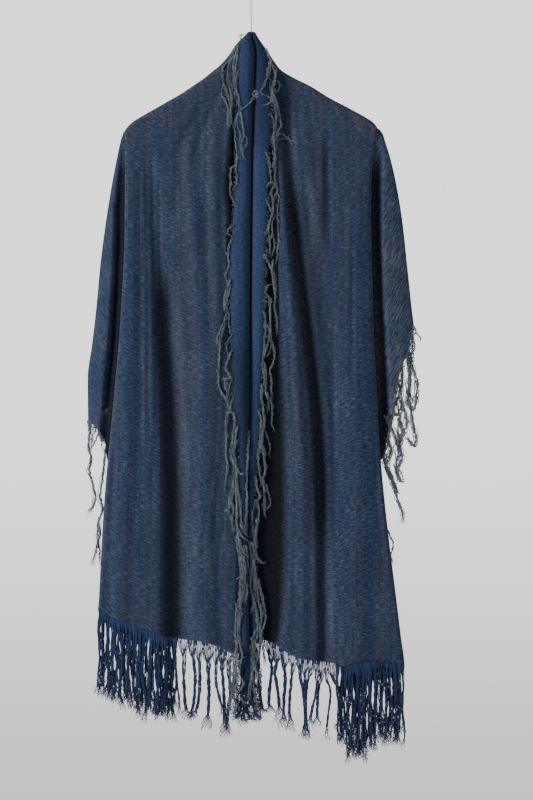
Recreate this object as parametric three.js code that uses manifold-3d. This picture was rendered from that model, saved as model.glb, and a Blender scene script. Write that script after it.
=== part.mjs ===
// A handwoven scarf draped over a coat hanger, hung from a string.
//
// One length of gauzy cloth lies over the hanger's arms. Its two fringed ends hang down in front, one frayed
// long edge turns outward down the centre front as a pair of lapels, and the other falls behind.
// Millimetres. X is to the viewer's right, Z is up and the front faces -Y. The origin is the point inside the
// string's loop that rests on a hook, so every height below it is negative.

import * as THREE from 'three';
import { mergeVertices } from 'three/addons/utils/BufferGeometryUtils.js';
import Module from 'manifold-3d';

const wasm = await Module();
wasm.setup();

// Driving sizes of the cloth.
const clothThickness = 1.2;
const seamGap = 0.35;
const crownRadius = 8.5; // of the cloth where it bends over the hanger's arms
const shoulderTipZ = -244;
const sideTopZ = -249; // where the side flaps begin, below the tips
const sideLeastWidth = 4.5;
const frontBelly = 10; // how far the fronts swing out below the shoulders
const backBelly = 12;
const bellyRun = 240; // the height over which they do so
const foldRadius = 7; // of the rounded fold down each front's outer side
const lapelOffset = 1; // from the centre groove to where a lapel starts
const hollowDepth = 12; // of the hollow behind the lapels
const hollowTopZ = -178; // below the hanger
const tuckWidth = 6; // how far the right front passes behind the left one
const tuckDepth = 4;
const tuckTopZ = -200;
const sideFootZ = -800; // where the side flap ends and the return begins
const sideGap = 1.4;
const valleyReach = 22; // width of the valley between a front's fold and the side flap
const returnGap = 9; // between a front and its return
const lapelTopZ = -84;
const lapelTurn = THREE.MathUtils.degToRad(128); // how far a lapel rolls round
const lapelLeastWidth = 8;
const lapelLeastRise = 6;
const lapelMostRise = 17;
const collarHalf = 40; // the turned edge behind the neck
const collarDrop = 46;
const collarLift = 3.6;

// Driving sizes of the loose yarns.
const stripHeight = 3; // of the narrow strips that hold their roots
const stripSpare = 0.5; // by which a strip is thicker than its yarns
const stripGap = 0.8; // between a strip and the cloth's edge
const slantGap = 1.2; // the same on a slanting edge
const hemYarn = 1.5; // radius of a hem fringe strand
const frayYarn = 1.3; // radius of a frayed yarn

// Driving sizes of the hanger and its string.
const hangerThickness = 11.6;
const hangerBevel = 3;
const hangerReach = 200; // from its middle to an end
const hangerSlope = 0.565;
const hangerNeckZ = -106;
const hangerNeckHalf = 9;
const hangerNeckFoot = 26; // where the neck meets an arm
const hangerArmZ = -133; // an arm's top there
const stringDiameter = 2.6;
const loopRadius = 6;
const knotZ = -19.5;
const knotRadius = 3.2;

// The line of the shoulders, where the cloth bends over the hanger.
const shoulderRows = [
  { x: -212, z: -244 }, { x: -203, z: -228.5 }, { x: -187, z: -216.5 }, { x: -170, z: -205 },
  { x: -136, z: -188 }, { x: -102, z: -168 }, { x: -77, z: -153 }, { x: -49, z: -134.5 },
  { x: -38, z: -124 }, { x: -28, z: -107.5 }, { x: -18, z: -91 }, { x: -5, z: -79.5 },
  { x: 4, z: -79.5 }, { x: 12, z: -91 }, { x: 23.5, z: -107.5 }, { x: 40, z: -131 },
  { x: 49, z: -141 }, { x: 74, z: -154.5 }, { x: 99, z: -166.5 }, { x: 133, z: -186.5 },
  { x: 158, z: -198 }, { x: 183, z: -213.5 }, { x: 200, z: -226 }, { x: 212, z: -244 },
];

// The front hem, where the cloth ends and its fringe begins.
const hemRows = [
  { x: -260, z: -1041 }, { x: -237, z: -1058 }, { x: -220, z: -1065 }, { x: -195, z: -1073 },
  { x: -170, z: -1082 }, { x: -144, z: -1092 }, { x: -119, z: -1097 }, { x: -86, z: -1100 },
  { x: -60, z: -1107 }, { x: -44, z: -1115 }, { x: -27, z: -1122 }, { x: -2, z: -1112 },
  { x: 20, z: -1099 }, { x: 32, z: -1102 }, { x: 49, z: -1112 }, { x: 65, z: -1122 },
  { x: 82, z: -1129 }, { x: 116, z: -1134 }, { x: 141, z: -1137 }, { x: 158, z: -1142 },
  { x: 175, z: -1137 }, { x: 192, z: -1134 }, { x: 225, z: -1134 }, { x: 260, z: -1139 },
];

// The ends of the hem fringe.
const fringeRows = [
  { x: -260, z: -1183 }, { x: -220, z: -1168 }, { x: -203, z: -1196 }, { x: -186, z: -1216 },
  { x: -161, z: -1223 }, { x: -128, z: -1224 }, { x: -106, z: -1231 }, { x: -89, z: -1220 },
  { x: -69, z: -1241 }, { x: -44, z: -1258 }, { x: -20, z: -1240 }, { x: 32, z: -1220 },
  { x: 60, z: -1246 }, { x: 91, z: -1263 }, { x: 111, z: -1233 }, { x: 150, z: -1270 },
  { x: 175, z: -1303 }, { x: 200, z: -1283 }, { x: 217, z: -1270 }, { x: 260, z: -1268 },
];

// Places across the front at each height: the silhouette of the sides, the outer fold of each front, the outer
// side of the hollow behind each lapel, the free edge of each lapel, and the groove where the lapels meet.
const levels = [
  [-79, -212, -212, -5, -4, 0.5, 4, 5, 212, 212],
  [-95, -212, -212, -17, -16, 4.5, 14, 15, 212, 212],
  [-115, -212, -212, -23, -20.6, 7.5, 25, 28, 212, 212],
  [-145, -212, -212, -27, -22, 6.7, 28.6, 34, 212, 212],
  [-180, -212, -212, -29, -22, 5, 31, 40, 212, 212],
  [-215, -212, -212, -32, -22, 4.2, 34, 44, 212, 212],
  [-244, -213, -212, -34, -23.5, 3.4, 33.6, 45, 212, 214],
  [-290, -223, -212, -39, -25, 1.7, 29, 43, 204, 232],
  [-340, -231, -212, -42, -26.4, 1.2, 28.6, 42, 202, 245],
  [-400, -241, -212, -39, -31, 0.3, 26.5, 43, 202, 253],
  [-470, -250, -214, -38, -35.8, -0.5, 24.2, 44, 203.5, 260.5],
  [-540, -256, -218, -38, -35, -1.2, 22.3, 45, 205, 267.5],
  [-600, -264, -222, -37, -34, -1.7, 20, 46, 207, 275],
  [-660, -272, -227.5, -36, -32, -2.7, 16.8, 47.5, 210, 279],
  [-720, -271, -233, -33, -26, -3.7, 13.4, 49, 213, 283],
  [-790, -271, -240, -26, -19, -5, 10, 49.5, 217.5, 287],
  [-860, -272, -246, -25, -16, -6, 5.5, 49.5, 223, 288],
  [-940, -272, -251, -25, -16, -5, 6.7, 49.5, 230, 288],
  [-1020, -272, -255, -25, -16, -3.4, 10, 46, 238, 288],
  [-1090, -272, -259, -25, -16, -1.7, 12, 40, 249, 288],
  [-1145, -272, -260, -25, -16, -1.7, 12, 38, 258, 288],
].map(([z, sideL, foldL, hollowL, lapelL, groove, lapelR, hollowR, foldR, sideR]) => (
  { z, sideL, foldL, hollowL, lapelL, groove, lapelR, hollowR, foldR, sideR }));

// The large folds of the fronts, a row each: the line that a fold follows as places x, z from its top to its
// foot, its half width at the top and the foot, and its height towards the front, or depth where negative.
const foldRows = (rows) => rows.map(([line, topHalf, footHalf, height]) => (
  { line: line.map(([x, z]) => ({ x, z })), topHalf, footHalf, height }));
const frontFolds = foldRows([
  // left front
  [[[-204, -300], [-202, -480], [-206, -700]], 18, 26, 5],
  [[[-172, -285], [-170, -420], [-166, -650]], 20, 20, -4],
  [[[-150, -420], [-144, -700], [-140, -1080]], 18, 26, -11],
  [[[-118, -300], [-98, -620], [-88, -1080]], 24, 26, 5],
  [[[-62, -240], [-62, -400], [-56, -600]], 14, 18, 5],
  [[[-62, -190], [-74, -250], [-84, -330]], 12, 16, 4],
  [[[-96, -215], [-108, -270], [-116, -340]], 14, 18, 3],
  // right front
  [[[52, -200], [52, -440], [59, -528], [74, -695], [76, -1090]], 9, 18, 6],
  [[[69, -225], [71, -360], [87, -494], [101, -628], [114, -763], [115, -1040]], 14, 18, -12],
  [[[170, -330], [166, -640], [166, -1080]], 44, 46, 6],
  [[[128, -260], [129, -320], [130, -420]], 10, 12, -4],
  [[[171, -400], [170, -500], [170, -680]], 9, 10, -4],
]);

// The large folds of the back, where height is towards the rear.
const backFolds = foldRows([
  [[[-44, -230], [-64, -400], [-86, -700]], 26, 34, 6],
  [[[-8, -230], [-14, -400], [-22, -700]], 24, 32, -5],
  [[[36, -230], [48, -400], [64, -690]], 26, 34, 6],
  [[[90, -250], [116, -420], [132, -680]], 26, 30, -4],
  [[[-130, -260], [-142, -450], [-150, -720]], 28, 32, -4],
  [[[176, -290], [178, -430], [180, -660]], 22, 26, 4],
]);

// The lower edge of the side flaps, from the front fold (share 0) to the silhouette (share 1).
const sideFootRows = [
  { share: 0, left: -798, right: -798 }, { share: 0.1, left: -793, right: -789 },
  { share: 0.22, left: -771, right: -755 }, { share: 0.4, left: -755, right: -698 },
  { share: 0.6, left: -745, right: -647 }, { share: 0.8, left: -736, right: -613 },
  { share: 1, left: -729, right: -570 },
];

// How deep the valley lies between a front's fold and the side flap.
const valleyRows = [
  { z: -257, left: 0, right: 0 }, { z: -300, left: 4, right: 6 }, { z: -400, left: 11, right: 13 },
  { z: -540, left: 13, right: 15 }, { z: -700, left: 11, right: 14 }, { z: -800, left: 8, right: 9 },
];

// The longest frayed yarns below a side flap, from the front fold (share 0) to the silhouette (share 1).
const frayLengthRows = [
  { share: 0, left: 190, right: 130 }, { share: 0.3, left: 50, right: 150 }, { share: 0.6, left: 40, right: 170 },
  { share: 1, left: 150, right: 190 },
];

// The lower edge of the back.
const backHemRows = [
  { x: -250, z: -706 }, { x: -150, z: -676 }, { x: -40, z: -652 }, { x: 60, z: -640 }, { x: 150, z: -622 },
  { x: 250, z: -608 },
];

// The inner edge of the returns, which are the side edges folded in behind the fronts.
const returnRows = [
  { z: -800, left: -234, right: 210 }, { z: -900, left: -208, right: 205 },
  { z: -1000, left: -168, right: 188 }, { z: -1100, left: -128, right: 165 },
  { z: -1180, left: -118, right: 149 },
];

// The lower edges of the returns.
const returnHemRows = [
  { x: -262, z: -1050 }, { x: -190, z: -1088 }, { x: -124, z: -1107 }, { x: 149, z: -1179 },
  { x: 200, z: -1163 }, { x: 222, z: -1149 }, { x: 262, z: -1145 },
];

const indigo = 0x37486a;
const indigoReverse = 0x2c4672;
const fringeBlue = 0x22365e;
const frayGrey = 0x5a6878;
const wornWood = 0x7a5a44;
const stringTan = 0xcabdb0;

// ---- curves ----

// A smooth curve through table rows that never overshoots them, level past its ends.
function curveThrough(rows, from, to) {
  const at = rows.map((row) => row[from]);
  const value = rows.map((row) => row[to]);
  const rising = at[1] > at[0] ? 1 : -1;
  const slope = at.slice(1).map((a, i) => (value[i + 1] - value[i]) / (a - at[i]));
  const tangent = value.map((_, i) => {
    if (i === 0 || i === slope.length || slope[i - 1] * slope[i] <= 0) return 0;
    return 2 * slope[i - 1] * slope[i] / (slope[i - 1] + slope[i]);
  });
  return (x) => {
    if ((x - at[0]) * rising <= 0) return value[0];
    const last = at.length - 1;
    if ((x - at[last]) * rising >= 0) return value[last];
    let i = 0;
    while ((x - at[i + 1]) * rising > 0) i += 1;
    const run = at[i + 1] - at[i];
    const t = (x - at[i]) / run;
    const s = 1 - t;
    return value[i] * s * s * (1 + 2 * t) + value[i + 1] * t * t * (3 - 2 * t)
      + run * t * s * (tangent[i] * s - tangent[i + 1] * t);
  };
}

const { lerp, clamp, degToRad } = THREE.MathUtils;
const smooth = (t) => THREE.MathUtils.smoothstep(t, 0, 1);
const bump = (t) => (Math.abs(t) < 1 ? (1 + Math.cos(Math.PI * t)) / 2 : 0);
const uneven = (i, seed) => {
  const wave = Math.sin(i * 12.9898 + seed * 78.233) * 43758.5453;
  return wave - Math.floor(wave);
};

const shoulderZ = curveThrough(shoulderRows, 'x', 'z');
const hemZ = curveThrough(hemRows, 'x', 'z');
const fringeEndZ = curveThrough(fringeRows, 'x', 'z');
const backHemZ = curveThrough(backHemRows, 'x', 'z');
const returnHemZ = curveThrough(returnHemRows, 'x', 'z');
const grooveX = curveThrough(levels, 'z', 'groove');

// What belongs to one side of the body: -1 is the viewer's left and 1 the right.
function sideOf(sign) {
  const suffix = sign < 0 ? 'L' : 'R';
  const word = sign < 0 ? 'left' : 'right';
  return {
    sign,
    word,
    silhouetteX: curveThrough(levels, 'z', `side${suffix}`),
    foldX: curveThrough(levels, 'z', `fold${suffix}`),
    hollowX: curveThrough(levels, 'z', `hollow${suffix}`),
    lapelX: curveThrough(levels, 'z', `lapel${suffix}`),
    returnX: curveThrough(returnRows, 'z', word),
    footZ: curveThrough(sideFootRows, 'share', word),
    valleyY: curveThrough(valleyRows, 'z', word),
    frayLength: curveThrough(frayLengthRows, 'share', word),
  };
}
const sides = [sideOf(-1), sideOf(1)];

// How much a fold lifts the cloth at a place. It fades in below its top and, unless it runs to a hem, out above
// its foot.
for (const fold of [...frontFolds, ...backFolds]) fold.centreX = curveThrough(fold.line, 'z', 'x');
function foldLift(fold, x, z, hem) {
  const topZ = fold.line[0].z;
  const footZ = fold.line.at(-1).z;
  const half = lerp(fold.topHalf, fold.footHalf, clamp((z - topZ) / (footZ - topZ), 0, 1));
  const aside = (x - fold.centreX(z)) / half;
  const fadeIn = smooth((topZ + 50 - z) / 130);
  const fadeOut = footZ < hem ? 1 : smooth((z - footZ + 70) / 120);
  return fold.height * fadeIn * fadeOut * bump(aside);
}

// ---- the cloth's surfaces ----

// The depth of the fronts at a place, before their outer fold.
function frontY(x, z) {
  const side = sides[x < grooveX(z) ? 0 : 1];
  const below = Math.max(0, shoulderZ(x) - crownRadius - z);
  const form = smooth(below / 55);
  const across = (x - grooveX(z)) / (side.hollowX(z) - grooveX(z));
  const hollow = hollowDepth * smooth((1.15 - across) / 0.45) * smooth((hollowTopZ - z) / 75);
  const lift = frontFolds.reduce((sum, fold) => sum + foldLift(fold, x, z, -1000), 0);
  return -crownRadius - frontBelly * smooth(below / bellyRun) + (hollow - lift) * form;
}

function backY(x, z) {
  const below = Math.max(0, shoulderZ(x) - crownRadius - z);
  const lift = backFolds.reduce((sum, fold) => sum + foldLift(fold, x, z, -650), 0);
  return crownRadius + backBelly * smooth(below / bellyRun) + lift * smooth(below / 60);
}

// The fronts and the back part at the string, which comes up between them.
const seamY = (x) => seamGap / 2 + 2.6 * Math.exp(-((x / 9) ** 2));

// The depth added by the rounded fold at a distance from a front's outer side. It is flatter near the shoulder
// tip, where the cloth is stretched over the hanger's end.
function foldCurl(distance) {
  const inside = foldRadius - clamp(distance, 0, foldRadius);
  return foldRadius - Math.sqrt(foldRadius ** 2 - inside ** 2);
}
const curlShare = (z) => lerp(0.35, 1, smooth((shoulderTipZ - crownRadius - z) / 80));

// Steps down a front or the back: first round the crown, then evenly to the foot.
const crownSteps = 3;
const crownShare = 0.04;
function dropZ(top, foot, v) {
  if (v <= crownShare) return top - crownRadius * (1 - Math.cos(v / crownShare * Math.PI / 2));
  return lerp(top - crownRadius, foot, (v - crownShare) / (1 - crownShare));
}
const evenSteps = (count, from = 0, to = 1) => Array.from({ length: count + 1 }, (_, i) => lerp(from, to, i / count));
const downSteps = (rows) => [...evenSteps(crownSteps, 0, crownShare), ...evenSteps(rows, crownShare, 1).slice(1)];

// The depth of a sheet that starts in the seam along the shoulder (y = edge) and ends its crown at y = face.
const crownY = (v, edge, face) => (v < crownShare ? lerp(edge, face, Math.sin(v / crownShare * Math.PI / 2)) : face);

// The heights at which a column of cloth leaves the shoulder and reaches the hem, where its x depends on z.
function columnEnds(xAt, topCurve, footCurve) {
  let top = shoulderTipZ;
  let foot = -1000;
  for (let i = 0; i < 6; i += 1) {
    top = topCurve(xAt(top));
    foot = footCurve(xAt(foot));
  }
  return { top, foot };
}

// A place on a front, from its outer fold (u 0) to the groove (u 1) and from the shoulder (v 0) to the hem (v 1).
function frontPoint(side, u, v) {
  const tuck = (z) => (side.sign > 0 ? smooth((tuckTopZ - z) / 60) : 0);
  const innerX = (z) => grooveX(z) + side.sign * lapelOffset - tuck(z) * tuckWidth;
  const xAt = (z) => lerp(side.foldX(z), innerX(z), u);
  const { top, foot } = columnEnds(xAt, shoulderZ, hemZ);
  const z = dropZ(top, foot, v);
  const x = xAt(z);
  const behind = tuckDepth * tuck(z) * smooth((grooveX(z) + 8 - x) / 10);
  const face = frontY(x, z) + foldCurl(Math.abs(x - side.foldX(z))) * curlShare(z) + behind;
  return new THREE.Vector3(x, crownY(v, -seamY(x), face), z);
}

function backPoint(u, v) {
  const xAt = (z) => lerp(sides[0].foldX(z), sides[1].foldX(z), u);
  const { top, foot } = columnEnds(xAt, shoulderZ, backHemZ);
  const z = dropZ(top, foot, v);
  const x = xAt(z);
  return new THREE.Vector3(x, crownY(v, seamY(x), backY(x, z)), z);
}

// The turned edge behind the neck lies on the back.
function collarPoint(u, v) {
  const x = lerp(-collarHalf, collarHalf, u);
  const drop = lerp(0, collarDrop, v) * lerp(1, 0.72, Math.abs(x) / collarHalf);
  const z = shoulderZ(x) - crownRadius - 1 - drop;
  return new THREE.Vector3(x, backY(x, z) + collarLift + 2 * Math.sin(v * Math.PI), z);
}

// A lapel rolls forward out of the groove (u 0) and back to its frayed edge (u 1).
const lapelRise = (width) => clamp(0.5 * width, lapelLeastRise, lapelMostRise);
function lapelSurface(side, u, z) {
  const start = grooveX(z) + side.sign * lapelOffset;
  const width = Math.max(lapelLeastWidth, Math.abs(side.lapelX(z) - start));
  const turn = u * lapelTurn;
  const x = start + side.sign * width * (1 - Math.cos(turn)) / (1 - Math.cos(lapelTurn));
  const root = frontY(grooveX(z) + side.sign * 2, z) - clothThickness - seamGap;
  return new THREE.Vector3(x, root - lapelRise(width) * Math.sin(turn), z);
}
const lapelPoint = (side, u, v) => lapelSurface(side, u, lerp(lapelTopZ, hemZ(side.lapelX(-1100)) - 2, v));

// The side flap hangs from the shoulder tip: it starts behind the front's fold, sinks into a deep valley, comes
// out to the silhouette and rounds to the back. u runs from the front fold (0) by the silhouette (0.5) to the
// back (1).
function sidePoint(side, u, v) {
  const turn = (u - 0.5) * Math.PI;
  const share = Math.cos(turn);
  const behind = u > 0.5;
  const foot = behind ? lerp(backHemZ(side.foldX(-650)) + 1, side.footZ(1), share) : side.footZ(share);
  const z = lerp(sideTopZ, foot, v);
  const fold = side.foldX(z);
  const width = Math.max(sideLeastWidth, Math.abs(side.silhouetteX(z) - fold));
  const front = frontY(fold, z) + foldRadius * curlShare(z) + sideGap;
  const back = backY(fold, z);
  const valleyWidth = clamp(valleyReach / width, 0.36, 0.75);
  const valley = behind ? 0 : side.valleyY(z) * bump(2 * share / valleyWidth - 1);
  const x = fold + side.sign * (width * share + (behind ? sideGap * smooth((u - 0.5) * 4) : 0));
  return new THREE.Vector3(x, lerp(front, back, (1 + Math.sin(turn)) / 2) + valley, z);
}

// The return completes the rounded fold and lies behind the front. u runs from the fold (0) round it (up to the
// round share) and on to its inner edge (1).
const returnRoundShare = 0.3;
function returnPoint(side, u, v) {
  const round = u < returnRoundShare;
  const turn = degToRad(lerp(6, 90, u / returnRoundShare));
  const insetAt = (z) => {
    if (round) return foldRadius * (1 - Math.cos(turn));
    const total = Math.abs(side.returnX(z) - side.foldX(z));
    return lerp(foldRadius, total, (u - returnRoundShare) / (1 - returnRoundShare));
  };
  const xAt = (z) => side.foldX(z) - side.sign * insetAt(z);
  const z = lerp(sideFootZ - 1.5, columnEnds(xAt, shoulderZ, returnHemZ).foot, v);
  const flat = lerp(2 * foldRadius, returnGap, smooth((insetAt(z) - foldRadius) / 40));
  const apart = round ? foldRadius * (1 + Math.sin(turn)) : flat;
  return new THREE.Vector3(xAt(z), frontY(xAt(z), z) + apart, z);
}

// The foremost cloth at a place: a front, or the lapel on it.
function foremostY(x, z) {
  const side = sides[x < grooveX(z) ? 0 : 1];
  const reach = (x - grooveX(z)) / (side.lapelX(z) - grooveX(z));
  const turn = Math.acos(clamp(1 - reach * (1 - Math.cos(lapelTurn)), -1, 1)) / lapelTurn;
  const lapel = lapelSurface(side, Math.min(1, turn), z).y;
  return Math.min(frontY(x, z), lapel + 6 * smooth((reach - 1) * 1.5));
}

// ---- solids ----

// A closed wall of cloth: its outer side is point(u, v) over a grid, and its inner side lies one thickness along
// the surface's normal, on the side that inward (1 or -1) names.
function wall(point, across, down, inward, thickness = clothThickness) {
  const positions = [];
  const outer = [];
  const inner = [];
  const step = 1e-3;
  across.forEach((u, i) => {
    outer.push([]);
    inner.push([]);
    down.forEach((v) => {
      const place = point(u, v);
      const alongU = point(Math.min(1, u + step), v).sub(point(Math.max(0, u - step), v));
      const alongV = point(u, Math.min(1, v + step)).sub(point(u, Math.max(0, v - step)));
      const normal = alongU.cross(alongV).normalize().multiplyScalar(thickness * inward);
      outer[i].push(positions.push(place) - 1);
      inner[i].push(positions.push(place.clone().add(normal)) - 1);
    });
  });
  const triangles = [];
  const quad = (a, b, c, d) => {
    const shortAC = positions[a].distanceTo(positions[c]) <= positions[b].distanceTo(positions[d]);
    if (shortAC) triangles.push([a, b, c], [a, c, d]);
    else triangles.push([a, b, d], [b, c, d]);
  };
  const lastU = across.length - 1;
  const lastV = down.length - 1;
  for (let i = 0; i < lastU; i += 1) {
    for (let j = 0; j < lastV; j += 1) {
      quad(outer[i][j], outer[i][j + 1], outer[i + 1][j + 1], outer[i + 1][j]);
      quad(inner[i][j], inner[i + 1][j], inner[i + 1][j + 1], inner[i][j + 1]);
    }
  }
  for (let i = 0; i < lastU; i += 1) {
    quad(outer[i][0], outer[i + 1][0], inner[i + 1][0], inner[i][0]);
    quad(outer[i + 1][lastV], outer[i][lastV], inner[i][lastV], inner[i + 1][lastV]);
  }
  for (let j = 0; j < lastV; j += 1) {
    quad(outer[0][j + 1], outer[0][j], inner[0][j], inner[0][j + 1]);
    quad(outer[lastU][j], outer[lastU][j + 1], inner[lastU][j + 1], inner[lastU][j]);
  }
  const faces = inward > 0 ? triangles : triangles.map(([a, b, c]) => [a, c, b]);
  const geometry = new THREE.BufferGeometry();
  geometry.setAttribute('position', new THREE.Float32BufferAttribute(positions.flatMap((p) => p.toArray()), 3));
  geometry.setIndex(faces.flat());
  return geometry;
}

// A cord or yarn: a regular section of so many sides along a smooth curve.
function tube(points, radius, sideCount, steps = points.length - 1) {
  const corners = Array.from({ length: sideCount }, (_, i) => {
    const turn = (0.25 + i / sideCount) * 2 * Math.PI;
    return new THREE.Vector2(radius * Math.cos(turn), radius * Math.sin(turn));
  });
  const extrudePath = new THREE.CatmullRomCurve3(points);
  return new THREE.ExtrudeGeometry(new THREE.Shape(corners), { steps, bevelEnabled: false, extrudePath });
}

function toSolid(geometry) {
  const bare = geometry.clone();
  bare.deleteAttribute('normal');
  bare.deleteAttribute('uv');
  const merged = mergeVertices(bare, 1e-4);
  return new wasm.Manifold(new wasm.Mesh({
    numProp: 3,
    vertProperties: new Float32Array(merged.attributes.position.array),
    triVerts: new Uint32Array(merged.index.array),
  }));
}

function fromSolid(solid) {
  const { vertProperties, triVerts } = solid.getMesh();
  const geometry = new THREE.BufferGeometry();
  geometry.setAttribute('position', new THREE.BufferAttribute(vertProperties, 3));
  geometry.setIndex(new THREE.BufferAttribute(triVerts, 1));
  return geometry;
}

const fuse = (geometries) => fromSolid(geometries.map(toSolid).reduce((sum, solid) => sum.add(solid)));

const group = new THREE.Group();
function addPiece(name, geometry, color, roughness = 0.95) {
  geometry.computeVertexNormals();
  const material = new THREE.MeshStandardMaterial({ color, roughness, metalness: 0 });
  const mesh = new THREE.Mesh(geometry, material);
  mesh.name = name;
  group.add(mesh);
  return mesh;
}

// ---- the cloth ----

const frontColumns = [0, 0.006, 0.015, 0.03, ...evenSteps(9, 0.03, 0.5).slice(1), ...evenSteps(17, 0.5, 1).slice(1)];
const lapelRows = [0, 0.015, ...evenSteps(17, 0.05, 1)];
const sideColumns = [0, 0.02, 0.04, 0.06, 0.085, 0.11, 0.14, 0.18, 0.24, 0.32, 0.41, 0.5, 0.62, 0.74, 0.87, 1];
const backColumns = evenSteps(20);
const collarColumns = evenSteps(8);
const sideRows = [0, 0.03, 0.07, 0.12, ...evenSteps(6, 0.2, 1)];
const returnColumns = [...evenSteps(3, 0, returnRoundShare), ...evenSteps(6, returnRoundShare, 1).slice(1)];

for (const side of sides) {
  const { sign, word } = side;
  addPiece(`front_${word}`, wall((u, v) => frontPoint(side, u, v), frontColumns, downSteps(13), -sign), indigo);
  addPiece(`lapel_${word}`, wall((u, v) => lapelPoint(side, u, v), evenSteps(6), lapelRows, sign), indigoReverse);
  addPiece(`side_${word}`, wall((u, v) => sidePoint(side, u, v), sideColumns, sideRows, sign), indigo);
  addPiece(`return_${word}`, wall((u, v) => returnPoint(side, u, v), returnColumns, evenSteps(8), sign),
    indigoReverse);
}
addPiece('back', wall(backPoint, backColumns, downSteps(8), -1), indigo);
addPiece('collar_back', wall(collarPoint, collarColumns, evenSteps(2), -1), indigoReverse);

// ---- fringe and frayed edges ----

// The narrow strip that holds the roots of the yarns. It runs beside a line of places on the cloth's outer side, a
// gap away on the side that the unit vector aside names, and is a little thicker than the yarns.
function rootStrip(line, aside, gap, inward, radius) {
  const positions = [];
  line.forEach((place, i) => {
    const along = line[Math.min(i + 1, line.length - 1)].clone().sub(line[Math.max(i - 1, 0)]);
    const inwards = along.cross(aside).normalize().multiplyScalar(inward);
    const half = radius + stripSpare / 2;
    for (const reach of [gap, gap + stripHeight]) {
      const middle = place.clone().addScaledVector(aside, reach).addScaledVector(inwards, clothThickness / 2);
      positions.push(middle.clone().addScaledVector(inwards, -half), middle.clone().addScaledVector(inwards, half));
    }
  });
  const faces = [[0, 3, 2], [0, 1, 3]];
  const last = positions.length - 4;
  faces.push([last, last + 3, last + 1], [last, last + 2, last + 3]);
  for (let i = 0; i < last; i += 4) {
    for (const [a, b] of [[0, 1], [1, 3], [3, 2], [2, 0]]) {
      faces.push([i + a, i + 4 + b, i + b], [i + a, i + 4 + a, i + 4 + b]);
    }
  }
  const geometry = new THREE.BufferGeometry();
  geometry.setAttribute('position', new THREE.Float32BufferAttribute(positions.flatMap((p) => p.toArray()), 3));
  geometry.setIndex((inward > 0 ? faces : faces.map(([a, b, c]) => [a, c, b])).flat());
  return geometry;
}

// The place at a share of the way along a line of places.
function placeOn(line, share) {
  const at = clamp(share, 0, 1) * (line.length - 1);
  const i = Math.min(Math.floor(at), line.length - 2);
  return line[i].clone().lerp(line[i + 1], at - i);
}

const downward = new THREE.Vector3(0, 0, -1);

// Yarns that hang from an edge of cloth, each from its root to its own length, with a small sway. The strip that
// holds them lies off the edge in the direction aside, and clearY keeps them off what they hang beside.
function fringedEdge(name, color, line, options) {
  const { count, gap, inward, towards, radius, lengthAt, sway, leanAt, bends, seed, clearY } = options;
  const aside = options.aside ?? downward;
  const yarns = Array.from({ length: count }, (_, i) => {
    const share = clamp((i + 0.5 + 0.5 * (uneven(i, seed) - 0.5)) / count, 0.012, 0.988);
    const root = placeOn(line, share);
    root.addScaledVector(aside, gap + stripHeight * 0.55);
    root.y += towards * clothThickness / 2;
    const length = lengthAt(root, share, i);
    const lean = leanAt ? leanAt(share, length) : (uneven(i, seed + 1) - 0.5) * sway * 2;
    const route = evenSteps(bends).map((fall, step) => {
      const swing = step === 0 ? 0 : sway * (uneven(i * 7 + step, seed + 2) - 0.5);
      const place = new THREE.Vector3(root.x + lean * fall + swing, root.y + swing * 0.4, root.z - length * fall);
      if (clearY && step > 0) place.y = clearY(place.x, place.y, place.z);
      return place;
    });
    return tube(route, radius, 3);
  });
  addPiece(name, fuse([rootStrip(line, aside, gap, inward, radius), ...yarns]), color);
}

const inside = (columns, from, to) => columns.filter((u) => u >= from && u <= to);

for (const side of sides) {
  const { sign, word } = side;
  const hemLine = frontColumns.slice(1, -1).map((u) => frontPoint(side, u, 1));
  fringedEdge(`hem_fringe_${word}`, fringeBlue, hemLine, {
    count: 25, gap: stripGap, inward: -sign, towards: 1, radius: hemYarn, sway: 3, bends: 3, seed: 4 + sign,
    lengthAt: (root, share, i) => root.z - fringeEndZ(root.x) - 12 + 12 * uneven(i, 3),
  });
  const returnLine = inside(returnColumns, returnRoundShare, 1).map((u) => returnPoint(side, u, 1));
  fringedEdge(`return_fringe_${word}`, fringeBlue, returnLine, {
    count: 13, gap: stripGap, inward: sign, towards: -1, radius: hemYarn, sway: 3, bends: 3, seed: 8 + sign,
    lengthAt: (root, share, i) => root.z - fringeEndZ(root.x) - 16 + 12 * uneven(i, 7),
  });
  const sideLine = inside(sideColumns, 0.04, 0.5).map((u) => sidePoint(side, u, 1));
  const sideSlope = Math.atan2(sideLine.at(-1).z - sideLine[0].z, sign * (sideLine.at(-1).x - sideLine[0].x));
  fringedEdge(`side_fray_${word}`, frayGrey, sideLine, {
    count: sign < 0 ? 9 : 13, gap: slantGap, inward: sign, towards: 0, radius: frayYarn, sway: 3, bends: 4,
    seed: 12 + sign, aside: new THREE.Vector3(sign * Math.sin(sideSlope), 0, -Math.cos(sideSlope)),
    lengthAt: (root, share, i) => side.frayLength(share) * (0.5 + 0.5 * uneven(i, 5)),
    leanAt: (share, length) => sign * length * lerp(0.12, 0.02, share),
  });
}
const backLine = inside(backColumns, 0.04, 0.96).map((u) => backPoint(u, 1));
fringedEdge('back_fray', frayGrey, backLine, {
  count: 16, gap: stripGap, inward: -1, towards: -1, radius: frayYarn, sway: 4, bends: 3, seed: 16,
  lengthAt: (root, share, i) => 25 + 95 * uneven(i, 9) ** 2,
});
const collarLine = collarColumns.map((u) => collarPoint(u, 1));
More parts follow.
